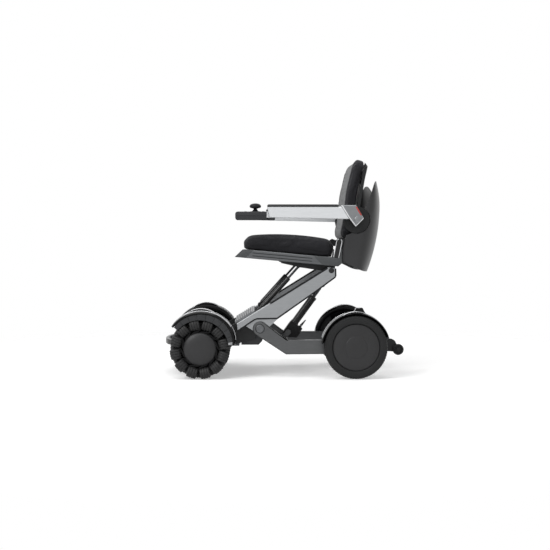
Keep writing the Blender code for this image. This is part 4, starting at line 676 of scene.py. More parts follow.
# Grained polypropylene: leather-like cells, drawn 1.7 mm wide, on a slightly cloudy charcoal.
grained = surfaced("grained_black_pp", "#2c2d2f", 0.0, 0.50, ("#292a2c", "#323335"), cells=(600, 1),
                   cloud=(18, 3), rough=(0.3, 0.7, 0.44, 0.56), bump=(0.15, 0.0003), Specular_IOR_Level=0.3)
paint(grained, "control_box")
front_edge = shifted(FOLD_PIVOT, (-0.0826, -0.0692), (-0.077, -0.0692), (-0.077, -0.0262), (-0.0826, -0.0262))
edges = [plated("edge", front_edge, sign * (BOX_HALF - 0.004), sign * (BOX_HALF + 0.0001), 0.0008)
         for sign in (-1, 1)]
hang(joined("control_box_corner_strips", *edges), "arm", "steel", chrome)
seam = shifted(FOLD_PIVOT, (-0.0824, -0.048), (-0.0824, -0.0466), (0.0117, -0.0466), (0.0113, -0.048))
seam = plated("control_box_parting_bead", seam, -BOX_HALF + 0.002, BOX_HALF - 0.002, 0.0003, 1)
hang(seam, "arm", "rubber", rubber_strip)


# Front wheels: omni wheels with two rows of twelve ribbed barrel rollers, half a pitch apart. A domed
# plastic disc closes the hub; black nylon claws curve out of it between the rollers and hold their pins.
# Their black is partly painted shade, so that the gaps between the rollers read as dark.
FRONT_Y, FRONT_RADIUS = 0.257, 0.124
ROLLER_RADIUS, ROLLER_HALF, ROLLER_RIBS = 0.0235, 0.0217, 4
ROLLERS = 12
ROLLER_PITCH = 360 / ROLLERS
ROW_TURN = 12.0
ROLLER_RING = FRONT_RADIUS - ROLLER_RADIUS
# Cast polyurethane: a soft black, dusty in 30 mm patches. Its grain is drawn coarser than real, at 2.4 mm.
polyurethane = surfaced("cast_polyurethane_black", "#303133", 0.0, 0.55, ("#191919", "#212121", "#262627"),
                        (420, 4), cloud=(30, 3), rough=(0.3, 0.7, 0.48, 0.66), bump=(0.15, 0.0004),
                        Specular_IOR_Level=0.3)
# Glass-filled nylon: nearly black and dull. The claws' black is partly their own and partly painted shade,
# so that the gaps between the rollers read as dark. Its grain is drawn at 1.4 mm, so that it shows.
nylon_gap_shade = surfaced("black_nylon_with_painted_gap_shade", "#0e0e0f", 0.0, 0.7, ("#080809", "#101011"), (700, 3),
                 bump=(0.1, 0.0003), Specular_IOR_Level=0.15)


def barrel(t):
    """Radius of a roller at a distance from its middle: the crown follows the wheel's own circle."""
    crown = sqrt(FRONT_RADIUS ** 2 - t ** 2) - ROLLER_RING
    end = max(abs(t) - 0.0176, 0) / 0.0041
    return crown - 0.0085 * end ** 2


rib = 2 * ROLLER_HALF / ROLLER_RIBS
profile = shifted((0, ROLLER_HALF), (0.0032, -0.003), (0.0085, -0.003), (0.01, 0))
for k in range(ROLLER_RIBS):
    for stop, drop in ((0.04, 0.0022), (0.10, 0.0006), (0.24, 0.0), (0.50, -0.0002), (0.76, 0.0),
                       (0.90, 0.0006), (0.96, 0.0022)):
        t = ROLLER_HALF - (k + stop) * rib
        profile.append((barrel(t) - drop, t))
profile += shifted((0, -ROLLER_HALF), (0.01, 0), (0.0085, 0.003), (0.0032, 0.003))
tangent_at = (FRONT_AXLE[0] + ROLLER_RING, left * (FRONT_Y + ROLLER_RADIUS), FRONT_AXLE[1])
roller = turned("roller", profile, tangent_at, (0, 0, 1), 32, closed=True)
pin = turned("pin", [(0, 0.0258), (0.003, 0.0258), (0.003, -0.0258), (0, -0.0258)], tangent_at, (0, 0, 1), 12)
# One claw in side view, as radius, turn and half width: it hugs the dome, then turns out between rollers.
spine = ((0.0580, 38, 0.0036), (0.0650, 33, 0.0040), (0.0688, 26, 0.0040), (0.0702, 19, 0.0038),
         (0.0718, 12.5, 0.0034), (0.0740, 7.2, 0.0030), (0.0780, 3.0, 0.0025), (0.0830, 0.8, 0.0021),
         (0.0900, 0.0, 0.0018), (0.1000, 0.0, 0.0017), (0.1090, 0.0, 0.0016))
places = [polar(FRONT_AXLE, r, a) for r, a, w in spine]
inside, outside = [], []
for k, (r, a, w) in enumerate(spine):
    before, after = places[max(k - 1, 0)], places[min(k + 1, len(spine) - 1)]
    dx, dz = after[0] - before[0], after[1] - before[1]
    length = hypot(dx, dz)
    inside.append(shift(places[k], -dz / length * w, dx / length * w))
    outside.append(shift(places[k], dz / length * w, -dx / length * w))
claw = plated("claw", inside + outside[::-1], left * (FRONT_Y + 0.0120), left * (FRONT_Y + 0.0335),
              0.0010, 2, 50)
for row, y_shift, y_turn in (("outer", 0.0, 0.0), ("inner", 2 * ROLLER_RADIUS, ROLLER_PITCH / 2)):
    for thing, label, first, slot, finish in (
            (roller, "rollers", ROW_TURN, "rubber", polyurethane),
            (pin, "roller_pins", ROW_TURN, "hub_grey", cast),
            (claw, "claws", ROW_TURN + ROLLER_PITCH / 2, "hub_grey", nylon_gap_shade)):
        copies = [turn_copy(thing, FRONT_AXLE, first + y_turn + ROLLER_PITCH * k) for k in range(ROLLERS)]
        ring = joined("front_%s_%s_left" % (label, row), *copies)
        ring.data.transform(Matrix.Translation((0, -left * y_shift, 0)))
        hang_both(ring, "front_wheel_left", slot, finish)
for thing in (roller, pin, claw):
    bpy.data.objects.remove(thing)

at = (FRONT_AXLE[0], left * FRONT_Y, FRONT_AXLE[1])
dome = turned("front_hub_disc_left", [
    (0, 0.0459), (0.012, 0.0457), (0.025, 0.045), (0.038, 0.0436), (0.05, 0.0411), (0.059, 0.0377),
    (0.0644, 0.0345), (0.0672, 0.0318), (0.068, 0.03), (0.0674, 0.0286), (0.06, 0.0275), (0, 0.0275)],
    at, (0, left, 0), 96)
hang_both(dome, "front_wheel_left", "hub_grey", moulded)
core = turned("front_hub_core_left", [
    (0.0125, 0.008), (0.0125, -0.0448), (0.054, -0.0455), (0.06, -0.042), (0.06, -0.0032), (0.082, -0.003),
    (0.082, 0.003), (0.06, 0.0032), (0.06, 0.029), (0.04, 0.03), (0.03, 0.008)],
    at, (0, left, 0), 72, closed=True)
hang_both(core, "front_wheel_left", "hub_grey", nylon_gap_shade, "front_wheel_left")


# Front fenders: gloss black shells over the omni wheels on a stay plate, with a low lens on top and
# bright beads along their shoulders; under the outer lip hangs a skirt of grey plastic segments.
ARCH_CENTRE, ARCH_SPANS = shift(FRONT_AXLE, 0.005, 0.029), (0.140, 0.125)
FRONT_IN, FRONT_OUT = 0.2064, 0.303
SKIRT_SEGMENTS, SKIRT_START, SKIRT_TURN = 9, -5, 153
# The skirt ends low, in front of the rollers, where their sides curve away from it.
SKIRT_REACH = FRONT_RADIUS - 0.005
lip_section = shifted((FRONT_IN, 0), (0, -0.03), (0, -0.018), (0.0002, -0.008), (0.0016, -0.0042),
                      (0.005, -0.0019), (0.012, -0.0008), (0.03, -0.0002), (0.05, 0))
lip_section += shifted((FRONT_OUT, 0), (-0.03, -0.0002), (-0.015, -0.001), (-0.006, -0.0022),
                       (-0.0018, -0.004), (0, -0.0062), (0, -0.0098))


def on_front_guard(u, v):
    y, lift = section_at(lip_section, u)
    x, z = on_arch(ARCH_CENTRE, ARCH_SPANS, -6 + 155 * v, lift)
    return (x, left * y, z)


guard = walled(sheeted("guard", 26, 72, on_front_guard), 0.0024, 0.0007)
stay = [polar(FRONT_AXLE, 0.060, 60 - 40 * k / 6) for k in range(7)]
stay += arched(ARCH_CENTRE, (0.118, 0.102), 5, 90, 0, 12)
stay = plated("stay", stay, left * (FRONT_IN - 0.0012), left * (FRONT_IN + 0.0012), 0.0004, 1)
outline = crowned(ARCH_CENTRE, ARCH_SPANS, 91, 0.0095)
lens = plated("lens", outline, left * (FRONT_IN + 0.010), left * (FRONT_IN + 0.062), 0.0020, 3, 60)
hang_both(joined("front_guard_left", guard, stay, lens), "arm", "gloss_black", gloss, "front_fender_left")
trim = []
for path, y, tall, wide in (
        (arched(ARCH_CENTRE, ARCH_SPANS, 30, 120, 0.0016), FRONT_OUT - 0.0250, 0.0010, 0.0030),
        (arched(ARCH_CENTRE, ARCH_SPANS, 2, 146, 0.0016), FRONT_IN + 0.0130, 0.0010, 0.0026),
        (outline[2:27], FRONT_IN + 0.0612, 0.0007, 0.0012)):
    trim.append(plated("trim", band(path, tall, tall), left * y, left * (y + wide), 0.0003, 1))
hang_both(joined("front_guard_trim_left", *trim), "arm", "steel", chrome)


def skirted(name, start, end, steps, behind, proud, rounding, segments):
    """A plate of the skirt between two angles of the arch, from under the lip down, as deep as it
    reaches behind the lip's edge."""
    upper, lower = [], []
    for place in arched(ARCH_CENTRE, ARCH_SPANS, start, end, -0.0110, steps):
        dx, dz = place[0] - FRONT_AXLE[0], place[1] - FRONT_AXLE[1]
        reach = min(SKIRT_REACH, hypot(dx, dz) - 0.004)
        upper.append(place)
        lower.append(shift(FRONT_AXLE, reach * dx / hypot(dx, dz), reach * dz / hypot(dx, dz)))
    return plated(name, upper + lower[::-1], left * (FRONT_OUT - behind), left * (FRONT_OUT - proud),
                  rounding, segments)


skirt = [skirted("segment", SKIRT_START + SKIRT_TURN * (k + 0.015) / SKIRT_SEGMENTS,
                 SKIRT_START + SKIRT_TURN * (k + 0.985) / SKIRT_SEGMENTS, 5, 0.0055, 0.0015, 0.0006, 2)
         for k in range(SKIRT_SEGMENTS)]
hang_both(joined("front_skirt_left", *skirt), "arm", "wing_grey", grained, "fender_liner_left")
# The backing shows only in the gaps between the skirt's plates, where its near-black is painted shade.
backing = skirted("front_skirt_backing_left", -4.6, 147.6, 45, 0.0055, 0.0035, 0.0, 1)
hang_both(backing, "arm", "wing_grey", nylon_gap_shade)
# Pale moulded ABS for the skirt's end caps: matt, with its fine grain drawn at 1.4 mm, so that it shows.
pale = surfaced("light_grey_moulded_abs", "#9a9b9d", 0.0, 0.45, ("#929395", "#a2a3a5"), (700, 3))
end_cap = skirted("front_skirt_end_cap_left", -4.8, 0.6, 3, 0.0022, 0.0006, 0.0005, 2)
hang_both(end_cap, "arm", "steel", pale)


# Footplate: a ribbed dark extrusion between the brackets, anodised and brushed across the chair; a
# gloss black nosing follows its bowed front. The brushed lines are drawn 1.7 mm apart, so that they show.
FOOT_HALF, FOOT_BOW = 0.1964, 0.063
NOSE_STEPS = 32
deck = surfaced("dark_anodised_footplate", "#4a4c4e", 1.0, 0.48, ("#424446", "#545658"), (1, 3),
                brushed=(0, (600, 10, 600)))
paint(deck, "footplate")
nosing = shifted((FRONT_AXLE[0] - 0.158, 0), (-0.0014, 0.131), (-0.0014, 0.15), (-0.0004, 0.1516),
                 (0.011, 0.1516), (0.011, 0.1506), (-0.0002, 0.1506), (-0.0002, 0.131))
nosing = plated("footplate_nosing", nosing, -FOOT_HALF, FOOT_HALF, 0.0, 1)
bpy.ops.object.mode_set(mode="EDIT")
for k in range(1, NOSE_STEPS):
    bpy.ops.mesh.select_all(action="SELECT")
    bpy.ops.mesh.bisect(plane_co=(0, FOOT_HALF * (2 * k / NOSE_STEPS - 1), 0), plane_no=(0, 1, 0))
bpy.ops.object.mode_set(mode="OBJECT")
for v in nosing.data.vertices:
    v.co.x += FOOT_BOW * (abs(v.co.y) / FOOT_HALF) ** 2.85
hang(nosing, "arm", "gloss_black", gloss)


# Rear actuator: an electric screw jack. Its gear case and motor are cast and painted black, the
# outer tube is black steel, the rod is black-nitrided; the small lever frees it by hand.
actuator_axis = (ACTUATOR_HEAD[0] - ACTUATOR_FOOT[0], 0, ACTUATOR_HEAD[1] - ACTUATOR_FOOT[1])
actuator_length = hypot(actuator_axis[0], actuator_axis[2])
# Painted tube: smooth and fairly glossy, hazed in centimetre patches.
tube_paint = surfaced("black_painted_steel_tube", "#1a1b1d", 0.0, 0.30, ("#101112", "#19191a"), (60, 4),
                      rough=(0.3, 0.7, 0.24, 0.38), Specular_IOR_Level=0.35)
# Nitrided steel: a dark bare metal, evenly mottled at about 3 mm.
nitrided = surfaced("black_nitrided_rod", "#3a3b3d", 1.0, 0.30, ("#333436", "#444547"), (300, 3))


def on_jack(u, v=0.0):
    return along(ACTUATOR_FOOT, ACTUATOR_HEAD, u, v)


at = (ACTUATOR_FOOT[0], 0, ACTUATOR_FOOT[1])
tube = turned("tube", [
    (0.0083, 0.05), (0.0158, 0.05), (0.016, 0.06), (0.016, 0.176), (0.0168, 0.1765), (0.017, 0.1785),
    (0.017, 0.187), (0.016, 0.1895), (0.0083, 0.19)], at, actuator_axis, 64, closed=True)
collar = turned("collar", [(0, 0.02), (0.0172, 0.02), (0.0178, 0.0215), (0.0178, 0.052), (0.017, 0.054),
                           (0, 0.054)], at, actuator_axis, 64)
rod = [(0, 0.122), (0.008, 0.122)]
rod += shifted((0, actuator_length), (0.008, -0.02), (0.0072, -0.016), (0.0072, -0.0105), (0, -0.0105))
rod = turned("rod", rod, at, actuator_axis, 48)
eye = turned("eye", two_faced([(0.0087, 0.0085), (0.012, 0.0085), (0.0126, 0.0078)]),
             (ACTUATOR_HEAD[0], 0, ACTUATOR_HEAD[1]), (0, 1, 0), 48, closed=True)
motor_foot = on_jack(0.0, -0.030)
motor = turned("motor", [(0, 0.01), (0.0145, 0.01), (0.0145, 0.044), (0.0136, 0.047), (0.011, 0.049),
                         (0, 0.0492)], (motor_foot[0], 0, motor_foot[1]), actuator_axis, 56)
gear = [on_jack(u, v) for u, v in (
    (-0.016, 0.015), (-0.016, -0.017), (0.002, -0.044), (0.006, -0.0458), (0.024, -0.0458), (0.028, -0.044),
    (0.047, -0.019), (0.048, -0.016), (0.048, 0.015), (0.045, 0.018), (-0.013, 0.018))]
gear = plated("gear", gear, -0.023, 0.023, 0.0035, 3)
hub = on_jack(0.0555, -0.030)
ear = lobe(on_jack(0.044, -0.030), 0.0055, hub, 0.0045, 12)
ears = [plated("ear", ear, y - 0.0015, y + 0.0015, 0.0003, 1) for y in (-0.0045, 0.0045)]
clevis = bar("actuator_clevis_pin", 0.002, hub, -0.0065, 0.0065, 16, 0.0002)
tip = along(hub, on_jack(0.090, -0.033), 0.030)
lever = plated("actuator_release_lever", lobe(hub, 0.0055, tip, 0.0020, 16), -0.0020, 0.0020, 0.0005)
hang(joined("actuator_case", gear, motor, *ears), "rear_actuator", "black_plastic", cast,
     "rear_actuator_tube")
hang(joined("actuator_outer_tube", tube, collar), "rear_actuator", "black_plastic", tube_paint)
hang(clevis, "rear_actuator", "steel", zinc)
hang(joined("actuator_rod", rod, eye), "rear_rod", "steel", nitrided, "rear_actuator_rod")
hang(lever, "release_lever", "steel", tube_paint, "release_lever")


# Gas struts: one on each side between the arms' front tube and the seat frame. Black cylinders with
# a crimped seam, thin black-nitrided rods.
strut_axis = (STRUT_HEAD[0] - STRUT_FOOT[0], 0, STRUT_HEAD[1] - STRUT_FOOT[1])
strut_length = hypot(strut_axis[0], strut_axis[2])
strut_rod = [(0, 0.09), (0.005, 0.09)]
strut_rod += shifted((0, strut_length), (0.005, -0.014), (0.0058, -0.013), (0.0058, -0.0085), (0, -0.0085))
for side, sign in SIDES:
    foot = (STRUT_FOOT[0], sign * STRUT_Y, STRUT_FOOT[1])
    cylinder = turned("cylinder", [
        (0, 0.008), (0.0085, 0.009), (0.0105, 0.013), (0.011, 0.017), (0.011, 0.057), (0.0104, 0.0576),
        (0.0104, 0.0592), (0.011, 0.0598), (0.011, 0.17), (0.0106, 0.1745), (0.009, 0.1775), (0.0056, 0.178),
        (0.0056, 0.04), (0, 0.04)], foot, strut_axis, 56, closed=True)
    eye = bar("eye", 0.010, STRUT_FOOT, sign * STRUT_Y - 0.005, sign * STRUT_Y + 0.005)
    hang(joined("strut_cylinder_" + side, cylinder, eye), "strut_" + side, "black_plastic", tube_paint,
         "strut_tube_" + side)
    rod = turned("rod", strut_rod, foot, strut_axis, 40)
    eye = turned("eye", two_faced([(0.0068, 0.0055), (0.0102, 0.0055), (0.0107, 0.0048)]),
                 (STRUT_HEAD[0], sign * STRUT_Y, STRUT_HEAD[1]), (0, 1, 0), 40, closed=True)
    hang(joined("strut_piston_rod_" + side, rod, eye), "strut_rod_" + side, "steel", nitrided,
         "strut_rod_" + side)


# Seat frame: two grooved rails in gunmetal extrusion with moulded end caps, the pressed pan between
# them, dark side channels under it, and slim hinge arms with bright edges for the backrest.
SEAT_REAR, SEAT_TILT = (0.2195, 0.4605), radians(5.26)
RAIL_LENGTH, RAIL_HEIGHT, RAIL_NOSE = 0.430, 0.0345, 0.030
BACK_PIVOT, BACK_TILT, BACK_LEAN = (0.2235, 0.563), radians(13.7), 0.018
# Moulded end caps: dark grey, with their fine grain drawn at 1.4 mm, so that it shows.
cap_plastic = surfaced("dark_moulded_end_cap", "#4b4d4f", 0.0, 0.5, ("#464849", "#525456"), (700, 3),
                       bump=(0.1, 0.0003), Specular_IOR_Level=0.3)
paint(gunmetal, "seat_rail_left", "seat_rail_right")
paint(powder, "seat_pan", "seat_bracket_left", "seat_bracket_right")
paint(tube_paint, "back_hinge_bracket_left", "back_hinge_bracket_right")


def on_seat(s, n):
    """A point by its distance forward along the rails and its height over their underside."""
    return (SEAT_REAR[0] - s * cos(SEAT_TILT) + n * sin(SEAT_TILT),
            SEAT_REAR[1] + s * sin(SEAT_TILT) + n * cos(SEAT_TILT))


def back_lean(t):
    """How far the backrest leans in at a distance up from its pivot."""
    rise = min(max((t - 0.06) / 0.18, 0), 1)
    return BACK_LEAN * rise * rise * (3 - 2 * rise)


def on_back(t, m):
    """A point by its distance up the backrest from its pivot and rearwards; its upper part leans in."""
    m -= back_lean(t)
    return (BACK_PIVOT[0] + t * sin(BACK_TILT) + m * cos(BACK_TILT),
            BACK_PIVOT[1] + t * cos(BACK_TILT) - m * sin(BACK_TILT))


flush = RAIL_HEIGHT - 0.0004
front_cap = [on_seat(s, n) for s, n in (
    (0.385, 0.0003), (0.364, 0.0232), (0.356, flush), (RAIL_LENGTH - RAIL_NOSE - 0.0002, flush),
    (RAIL_LENGTH - 0.0006, 0.0008), (RAIL_LENGTH - 0.002, 0.0003))]
rear_cap = [on_seat(s, n) for s, n in (
    (0.0004, 0.0003), (-0.0146, 0.0155), (-0.0105, 0.0397), (-0.0091, 0.0606), (-0.0098, 0.0716),
    (-0.0068, 0.071), (-0.0038, 0.0388), (-0.0012, flush), (0.1045, flush), (0.094, 0.0232), (0.065, 0.0003))]
# Dark strips lie in the rail's two grooves as painted shade, finished like the rubber strips.
grooves = [[on_seat(0.110, n), on_seat(0.110, n + 0.0022), on_seat(0.357, n + 0.0022), on_seat(0.357, n)]
           for n in (0.0104, 0.0224)]
hinge_edges = ([(0.2004, 0.4990), (0.2126, 0.5640), (0.2162, 0.5704), (0.2226, 0.5742)],
               [(0.2216, 0.4970), (0.2346, 0.5612), (0.2343, 0.5670), (0.2302, 0.5722)])
back_screw = shifted((0, outer), (0, 0.0016), (0.003, 0.0016), (0.0036, 0.0022), (0.008, 0.0024),
                     (0.0094, 0.0016), (0.0098, 0.0004), (0.0098, -0.001), (0, -0.001))
seat_screw = shifted((0, outer), (0, 0.0026), (0.0034, 0.0026), (0.0042, 0.0034), (0.0092, 0.0036),
                     (0.0112, 0.0024), (0.0116, 0.0006), (0.0116, -0.0005), (0, -0.0005))
for side, sign in SIDES:
    caps = [plated("cap", outline, sign * (outer - 0.003), sign * (outer + 0.0006), 0.0006)
            for outline in (front_cap, rear_cap)]
    hang(joined("rail_end_caps_" + side, *caps), "seat", "black_plastic", cap_plastic)
    # Painted shade in the grooves: thin dark strips along them.
    infill = [plated("infill", groove, sign * (outer - 0.0016), sign * (outer - 0.0006), 0.0002, 1)
              for groove in grooves]
    hang(joined("rail_groove_infill_" + side, *infill), "seat", "rubber", rubber_strip)
    strip = strips("hinge_arm_edges_" + side, hinge_edges, 0.0013, 0.0013, sign * (outer - 0.0010),
                   sign * (outer + 0.0006), 0.0003)
    hang(strip, "seat", "steel", chrome)
    screws = [turned("screw", screw, (pivot[0], 0, pivot[1]), (0, sign, 0), 40)
              for screw, pivot in ((back_screw, BACK_PIVOT), (seat_screw, SEAT_PIVOT))]
    hang(joined("seat_frame_screws_" + side, *screws), "seat", "black_plastic", powder)


# Seat cushion: a moulded foam block in a black woven polyester cover, thickest under the seat bones.
# It is swollen by a cloth simulation, and its flat base lies over the pan and the rails.
SEAT_BLOCK, SEAT_THICKNESS = 0.052, 0.062
THREAD_SCALE = 455 / (2 * pi)
PAD_PRESSURE, PAD_SWELL = 3.0, 0.006
woven = finish_named("woven_black_polyester", "#232325", 0.0, 0.86, Sheen_Weight=0.10, Sheen_Roughness=0.5,
                     Specular_IOR_Level=0.15)
spot = add(woven, "ShaderNodeTexCoord", {}, out=3)
# The real threads lie 0.6 mm apart; they are drawn 4.3 mm apart so that the weave shows.
warp, weft, rise = [add(woven, "ShaderNodeTexWave", {0: spot, "Scale": THREAD_SCALE, "Distortion": 0.6},
                        out=1, bands_direction=way) for way in "XYZ"]
cross = add(woven, "ShaderNodeMath", {0: warp, 1: weft}, operation="MULTIPLY")
weave = add(woven, "ShaderNodeMath", {0: cross, 1: rise}, operation="ADD")
melange = add(woven, "ShaderNodeTexNoise", {0: spot, "Scale": 260.0, "Detail": 5.0})
shade = add(woven, "ShaderNodeMix", {0: melange, 6: linear("#19191b"), 7: linear("#2c2c2f")},
            out=2, data_type="RGBA")
add(woven, "ShaderNodeMix", {0: weave, 6: shade, 7: linear("#303033")}, to=["Base Color"], out=2,
    data_type="RGBA")
add(woven, "ShaderNodeBump", {0: 0.35, 1: 0.0008, "Height": weave}, to=["Normal"])


def swollen(piece, frames=20, voxel=0.005):
    """The pad blown out a little by a cloth simulation, no point further than the swell allowed."""
    applied(piece, "REMESH", mode="VOXEL", voxel_size=voxel)
    before = [v.co.copy() for v in piece.data.vertices]
    cloth = piece.modifiers.new("cover", "CLOTH")
    cloth.settings.use_pressure = True
    cloth.settings.uniform_pressure_force = PAD_PRESSURE
    cloth.settings.effector_weights.gravity = 0
    cloth.settings.quality = 5
    cloth.point_cache.frame_start = 1
    cloth.point_cache.frame_end = frames
    for step in range(1, frames + 1):
        bpy.context.scene.frame_set(step)
    shape = piece.evaluated_get(bpy.context.evaluated_depsgraph_get())
    after = [v.co.copy() for v in shape.data.vertices]
    piece.modifiers.remove(cloth)
    bpy.context.scene.frame_set(1)
    for vertex, old, new in zip(piece.data.vertices, before, after):
        move = new - old
        if move.length > PAD_SWELL:
            move *= PAD_SWELL / move.length
        vertex.co = old + move


def rounded_slab(name, place, half_length, half_width, height, crown, corner, rounding):
    """A foam block: a cube subdivided, its corners rounded in plan, domed on top, drawn in a little at
    its foot, set by its place, its edges rounded, and swollen."""
    bpy.ops.object.select_all(action="DESELECT")
    bpy.ops.mesh.primitive_cube_add(size=1)
    piece = bpy.context.object
    piece.name = piece.data.name = name
    bpy.ops.object.mode_set(mode="EDIT")
    bpy.ops.mesh.select_all(action="SELECT")
    bpy.ops.mesh.subdivide(number_cuts=23, smoothness=0)
    bpy.ops.object.mode_set(mode="OBJECT")
    for v in piece.data.vertices:
        a, b, c = 2 * v.co.x, 2 * v.co.y, v.co.z + 0.5
        shrink = 1 - 0.02 * (1 - c) ** 2
        x, y = a * half_length * shrink, b * half_width * shrink
        limit_x, limit_y = half_length * shrink - corner, half_width * shrink - corner
        over_x, over_y = max(abs(x) - limit_x, 0), max(abs(y) - limit_y, 0)
        if over_x > 0 and over_y > 0:
            size = max(over_x, over_y) / hypot(over_x, over_y)
            x = (limit_x + over_x * size) * (1 if a > 0 else -1)
            y = (limit_y + over_y * size) * (1 if b > 0 else -1)
        v.co = place(x, y, height * c + crown(a, b) * c ** 1.5)
    bevelled(piece, rounding, 4, 50)
    swollen(piece)
    return piece


def upholstered(pad, body, node):
    """Smooths the pad, gives it its woven cover and hangs it."""
    applied(pad, "SUBSURF", levels=1, render_levels=1)
    hang(pad, body, "cushion_fabric", woven, node, sharp=80)


base = RAIL_HEIGHT + 0.0010


def seat_place(x, y, z):
    """Foam axes (forwards is -x) laid on the rails."""
    spot = on_seat(0.211 - x, base + z)
    return (spot[0], y, spot[1])


def seat_crown(a, b):
    """Height of the top over the block: a wedge that thins forwards, rounded down at all four sides."""
    share = (1 - a) / 2
    wedge = SEAT_THICKNESS * (1.06 + 0.72 * share - 0.98 * share ** 2) - SEAT_BLOCK
    end, flank = min(max(abs(a) - 0.80, 0) / 0.20, 1), min(max(abs(b) - 0.82, 0) / 0.18, 1)
    return wedge - 0.020 * (1 - sqrt(1 - end ** 2)) - 0.012 * (1 - sqrt(1 - flank ** 2))


pad = rounded_slab("seat_pad", seat_place, 0.192, 0.209, SEAT_BLOCK, seat_crown, 0.030, 0.009)
for v in pad.data.vertices:
    n = (v.co.x - SEAT_REAR[0]) * sin(SEAT_TILT) + (v.co.z - SEAT_REAR[1]) * cos(SEAT_TILT)
    sunk = max(base - n, 0)
    v.co.x += sunk * sin(SEAT_TILT)
    v.co.z += sunk * cos(SEAT_TILT)
upholstered(pad, "seat", "seat_cushion")


# Back frame, panel and wings: a welded frame in gunmetal, a thin moulded panel on its rear, and two
# curved dark wings in satin plastic that cover its sides and sweep round behind it.
ARMREST_PIVOT = (0.2955, 0.654)
HUB_OPENING = 0.058
WING_IN, WING_OUT = 0.060, 0.2235
WING_SIDE, WING_HIGH, WING_LOW = 0.30, 0.712, 0.482
# Upper edge against the way round the shell: low at the armrest, steep up to the tip, then falling.
WING_TOP = ((0.0, 0.590), (0.12, 0.600), (0.20, 0.650), (0.25, 0.725), (0.28, 0.766), (0.33, 0.792),
            (0.40, 0.806), (0.50, 0.8135), (0.60, 0.8155), (0.70, 0.812), (0.80, 0.798), (0.90, 0.773),
            (1.0, 0.742))
# Satin PC-ABS: an even charcoal with a soft sheen, over a grain drawn at 1.2 mm.
wing_plastic = surfaced("satin_charcoal_pc_abs", "#3a3b3d", 0.0, 0.34, ("#262627", "#2f2f31"),
                        cells=(800, 1), cloud=(7, 3), rough=(0.3, 0.7, 0.30, 0.40), bump=(0.06, 0.0003),
                        Specular_IOR_Level=0.4)
paint(powder, "back_frame")


def cut_out(piece, cutter):
    """Cuts one shape out of a piece."""
    applied(piece, "BOOLEAN", object=cutter, operation="DIFFERENCE", solver="EXACT")
    bpy.data.objects.remove(cutter)


def on_panel(u, v):
    w = -1 + 2 * u
    edge = max(abs(w) - 0.80, 0) / 0.20
    curl = max(v - 0.955, 0) / 0.045
    x, z = on_back(0.030 + 0.318 * v, 0.0638 + 0.006 * (1 - w * w) - 0.0020 * edge ** 2 - 0.014 * curl ** 2)
    return (x, w * 0.187 * (1 - 0.10 * v ** 2), z)


panel = walled(sheeted("back_shell", 32, 28, on_panel), 0.003, 0.0010)
hang(panel, "back", "wing_grey", wing_plastic, "back_panel")


def wing_front(z):
    """Front edge in side view."""
    return 0.2385 + 0.112 * max((z - 0.500) / 0.315, 0) ** 1.6


def wing_rear(z):
    """Rear edge in side view, fullest at two thirds of the height."""
    if z < WING_HIGH:
        return 0.4060 - 0.0530 * ((WING_HIGH - z) / 0.273) ** 2
    return 0.4060 - 0.0190 * ((z - WING_HIGH) / 0.103) ** 2


def wing_edge(u):
    for (a, low), (b, high) in zip(WING_TOP, WING_TOP[1:]):
        if u <= b:
            return low + (high - low) * (u - a) / (b - a)


def wing_top(u):
    """The edge with its corners eased."""
    near = [wing_edge(min(max(u + step, 0), 1)) for step in (-0.03, -0.015, 0, 0.015, 0.03)]
    return sum(near) / len(near)


def on_wing(u, v):
    """A point by its share of the way round from the front and up from the foot."""
    turn = max(u - WING_SIDE, 0) / (1 - WING_SIDE)
    low = WING_LOW - 0.043 * sin(min(u / 0.7, 1) * pi / 2)
    z = low + (wing_top(u) - low) * v
    reach = min(u / WING_SIDE, 1) * 0.45 + 0.55 * sin(turn * pi / 2)
    return (wing_front(z) + (wing_rear(z) - wing_front(z)) * reach,
            left * (WING_IN + (WING_OUT - WING_IN) * cos(turn * pi / 2)), z)


wing = walled(sheeted("back_wing_shell_left", 44, 40, on_wing), 0.004, 0.0012)
cut_out(wing, bar("punch", HUB_OPENING, ARMREST_PIVOT, -0.19, -0.26, 64, 0.0001))
hang_both(wing, "back", "wing_grey", wing_plastic, "back_wing_left")


# Back cushion: two black side bolsters with a lighter grey mesh panel between them, sewn along a
# piped seam, on the same foam as the seat.
BACK_REST = 0.0448
MESH_DEPTH, MESH_HALF = 0.022, 0.150
mesh_cloth = finish_named("grey_spacer_mesh", "#6a6b6d", 0.0, 0.9, Sheen_Weight=0.15, Sheen_Roughness=0.5)
spot = add(mesh_cloth, "ShaderNodeTexCoord", {}, out=3)
# Spacer mesh has round openings 2.5 mm apart; they are drawn 4 mm apart so that they show, and darker
# than the mesh, as painted shade inside them.
holes = add(mesh_cloth, "ShaderNodeTexVoronoi", {0: spot, "Scale": 250.0, "Randomness": 0.15})
fade = add(mesh_cloth, "ShaderNodeMapRange", {0: holes, 1: 0.2, 2: 0.5, 3: 1.0, 4: 0.0})
add(mesh_cloth, "ShaderNodeMix", {0: fade, 6: linear("#5e5f60"), 7: linear("#3e3f40")},
    to=["Base Color"], out=2, data_type="RGBA")
add(mesh_cloth, "ShaderNodeBump", {0: 0.4, 1: 0.0008, "Height": holes}, to=["Normal"])


def back_place(x, y, z):
    """Foam axes laid against the back frame: x up the back, z towards the sitter."""
    spot = on_back(0.187 + x, BACK_REST - z)
    return (spot[0], y, spot[1])


def back_crown(a, b):
    """The middle is dished, and the bolsters stand forward at the sides."""
    return -0.004 * (1 - b * b) - 0.006 * max(abs(a) - 0.8, 0) / 0.2


def back_depth(point):
    """How far a point lies behind the backrest's pivot line, along the leaning back."""
    dx, dz = point.x - BACK_PIVOT[0], point.z - BACK_PIVOT[1]
    return (dx * cos(BACK_TILT) - dz * sin(BACK_TILT)
            + back_lean(dx * sin(BACK_TILT) + dz * cos(BACK_TILT)))


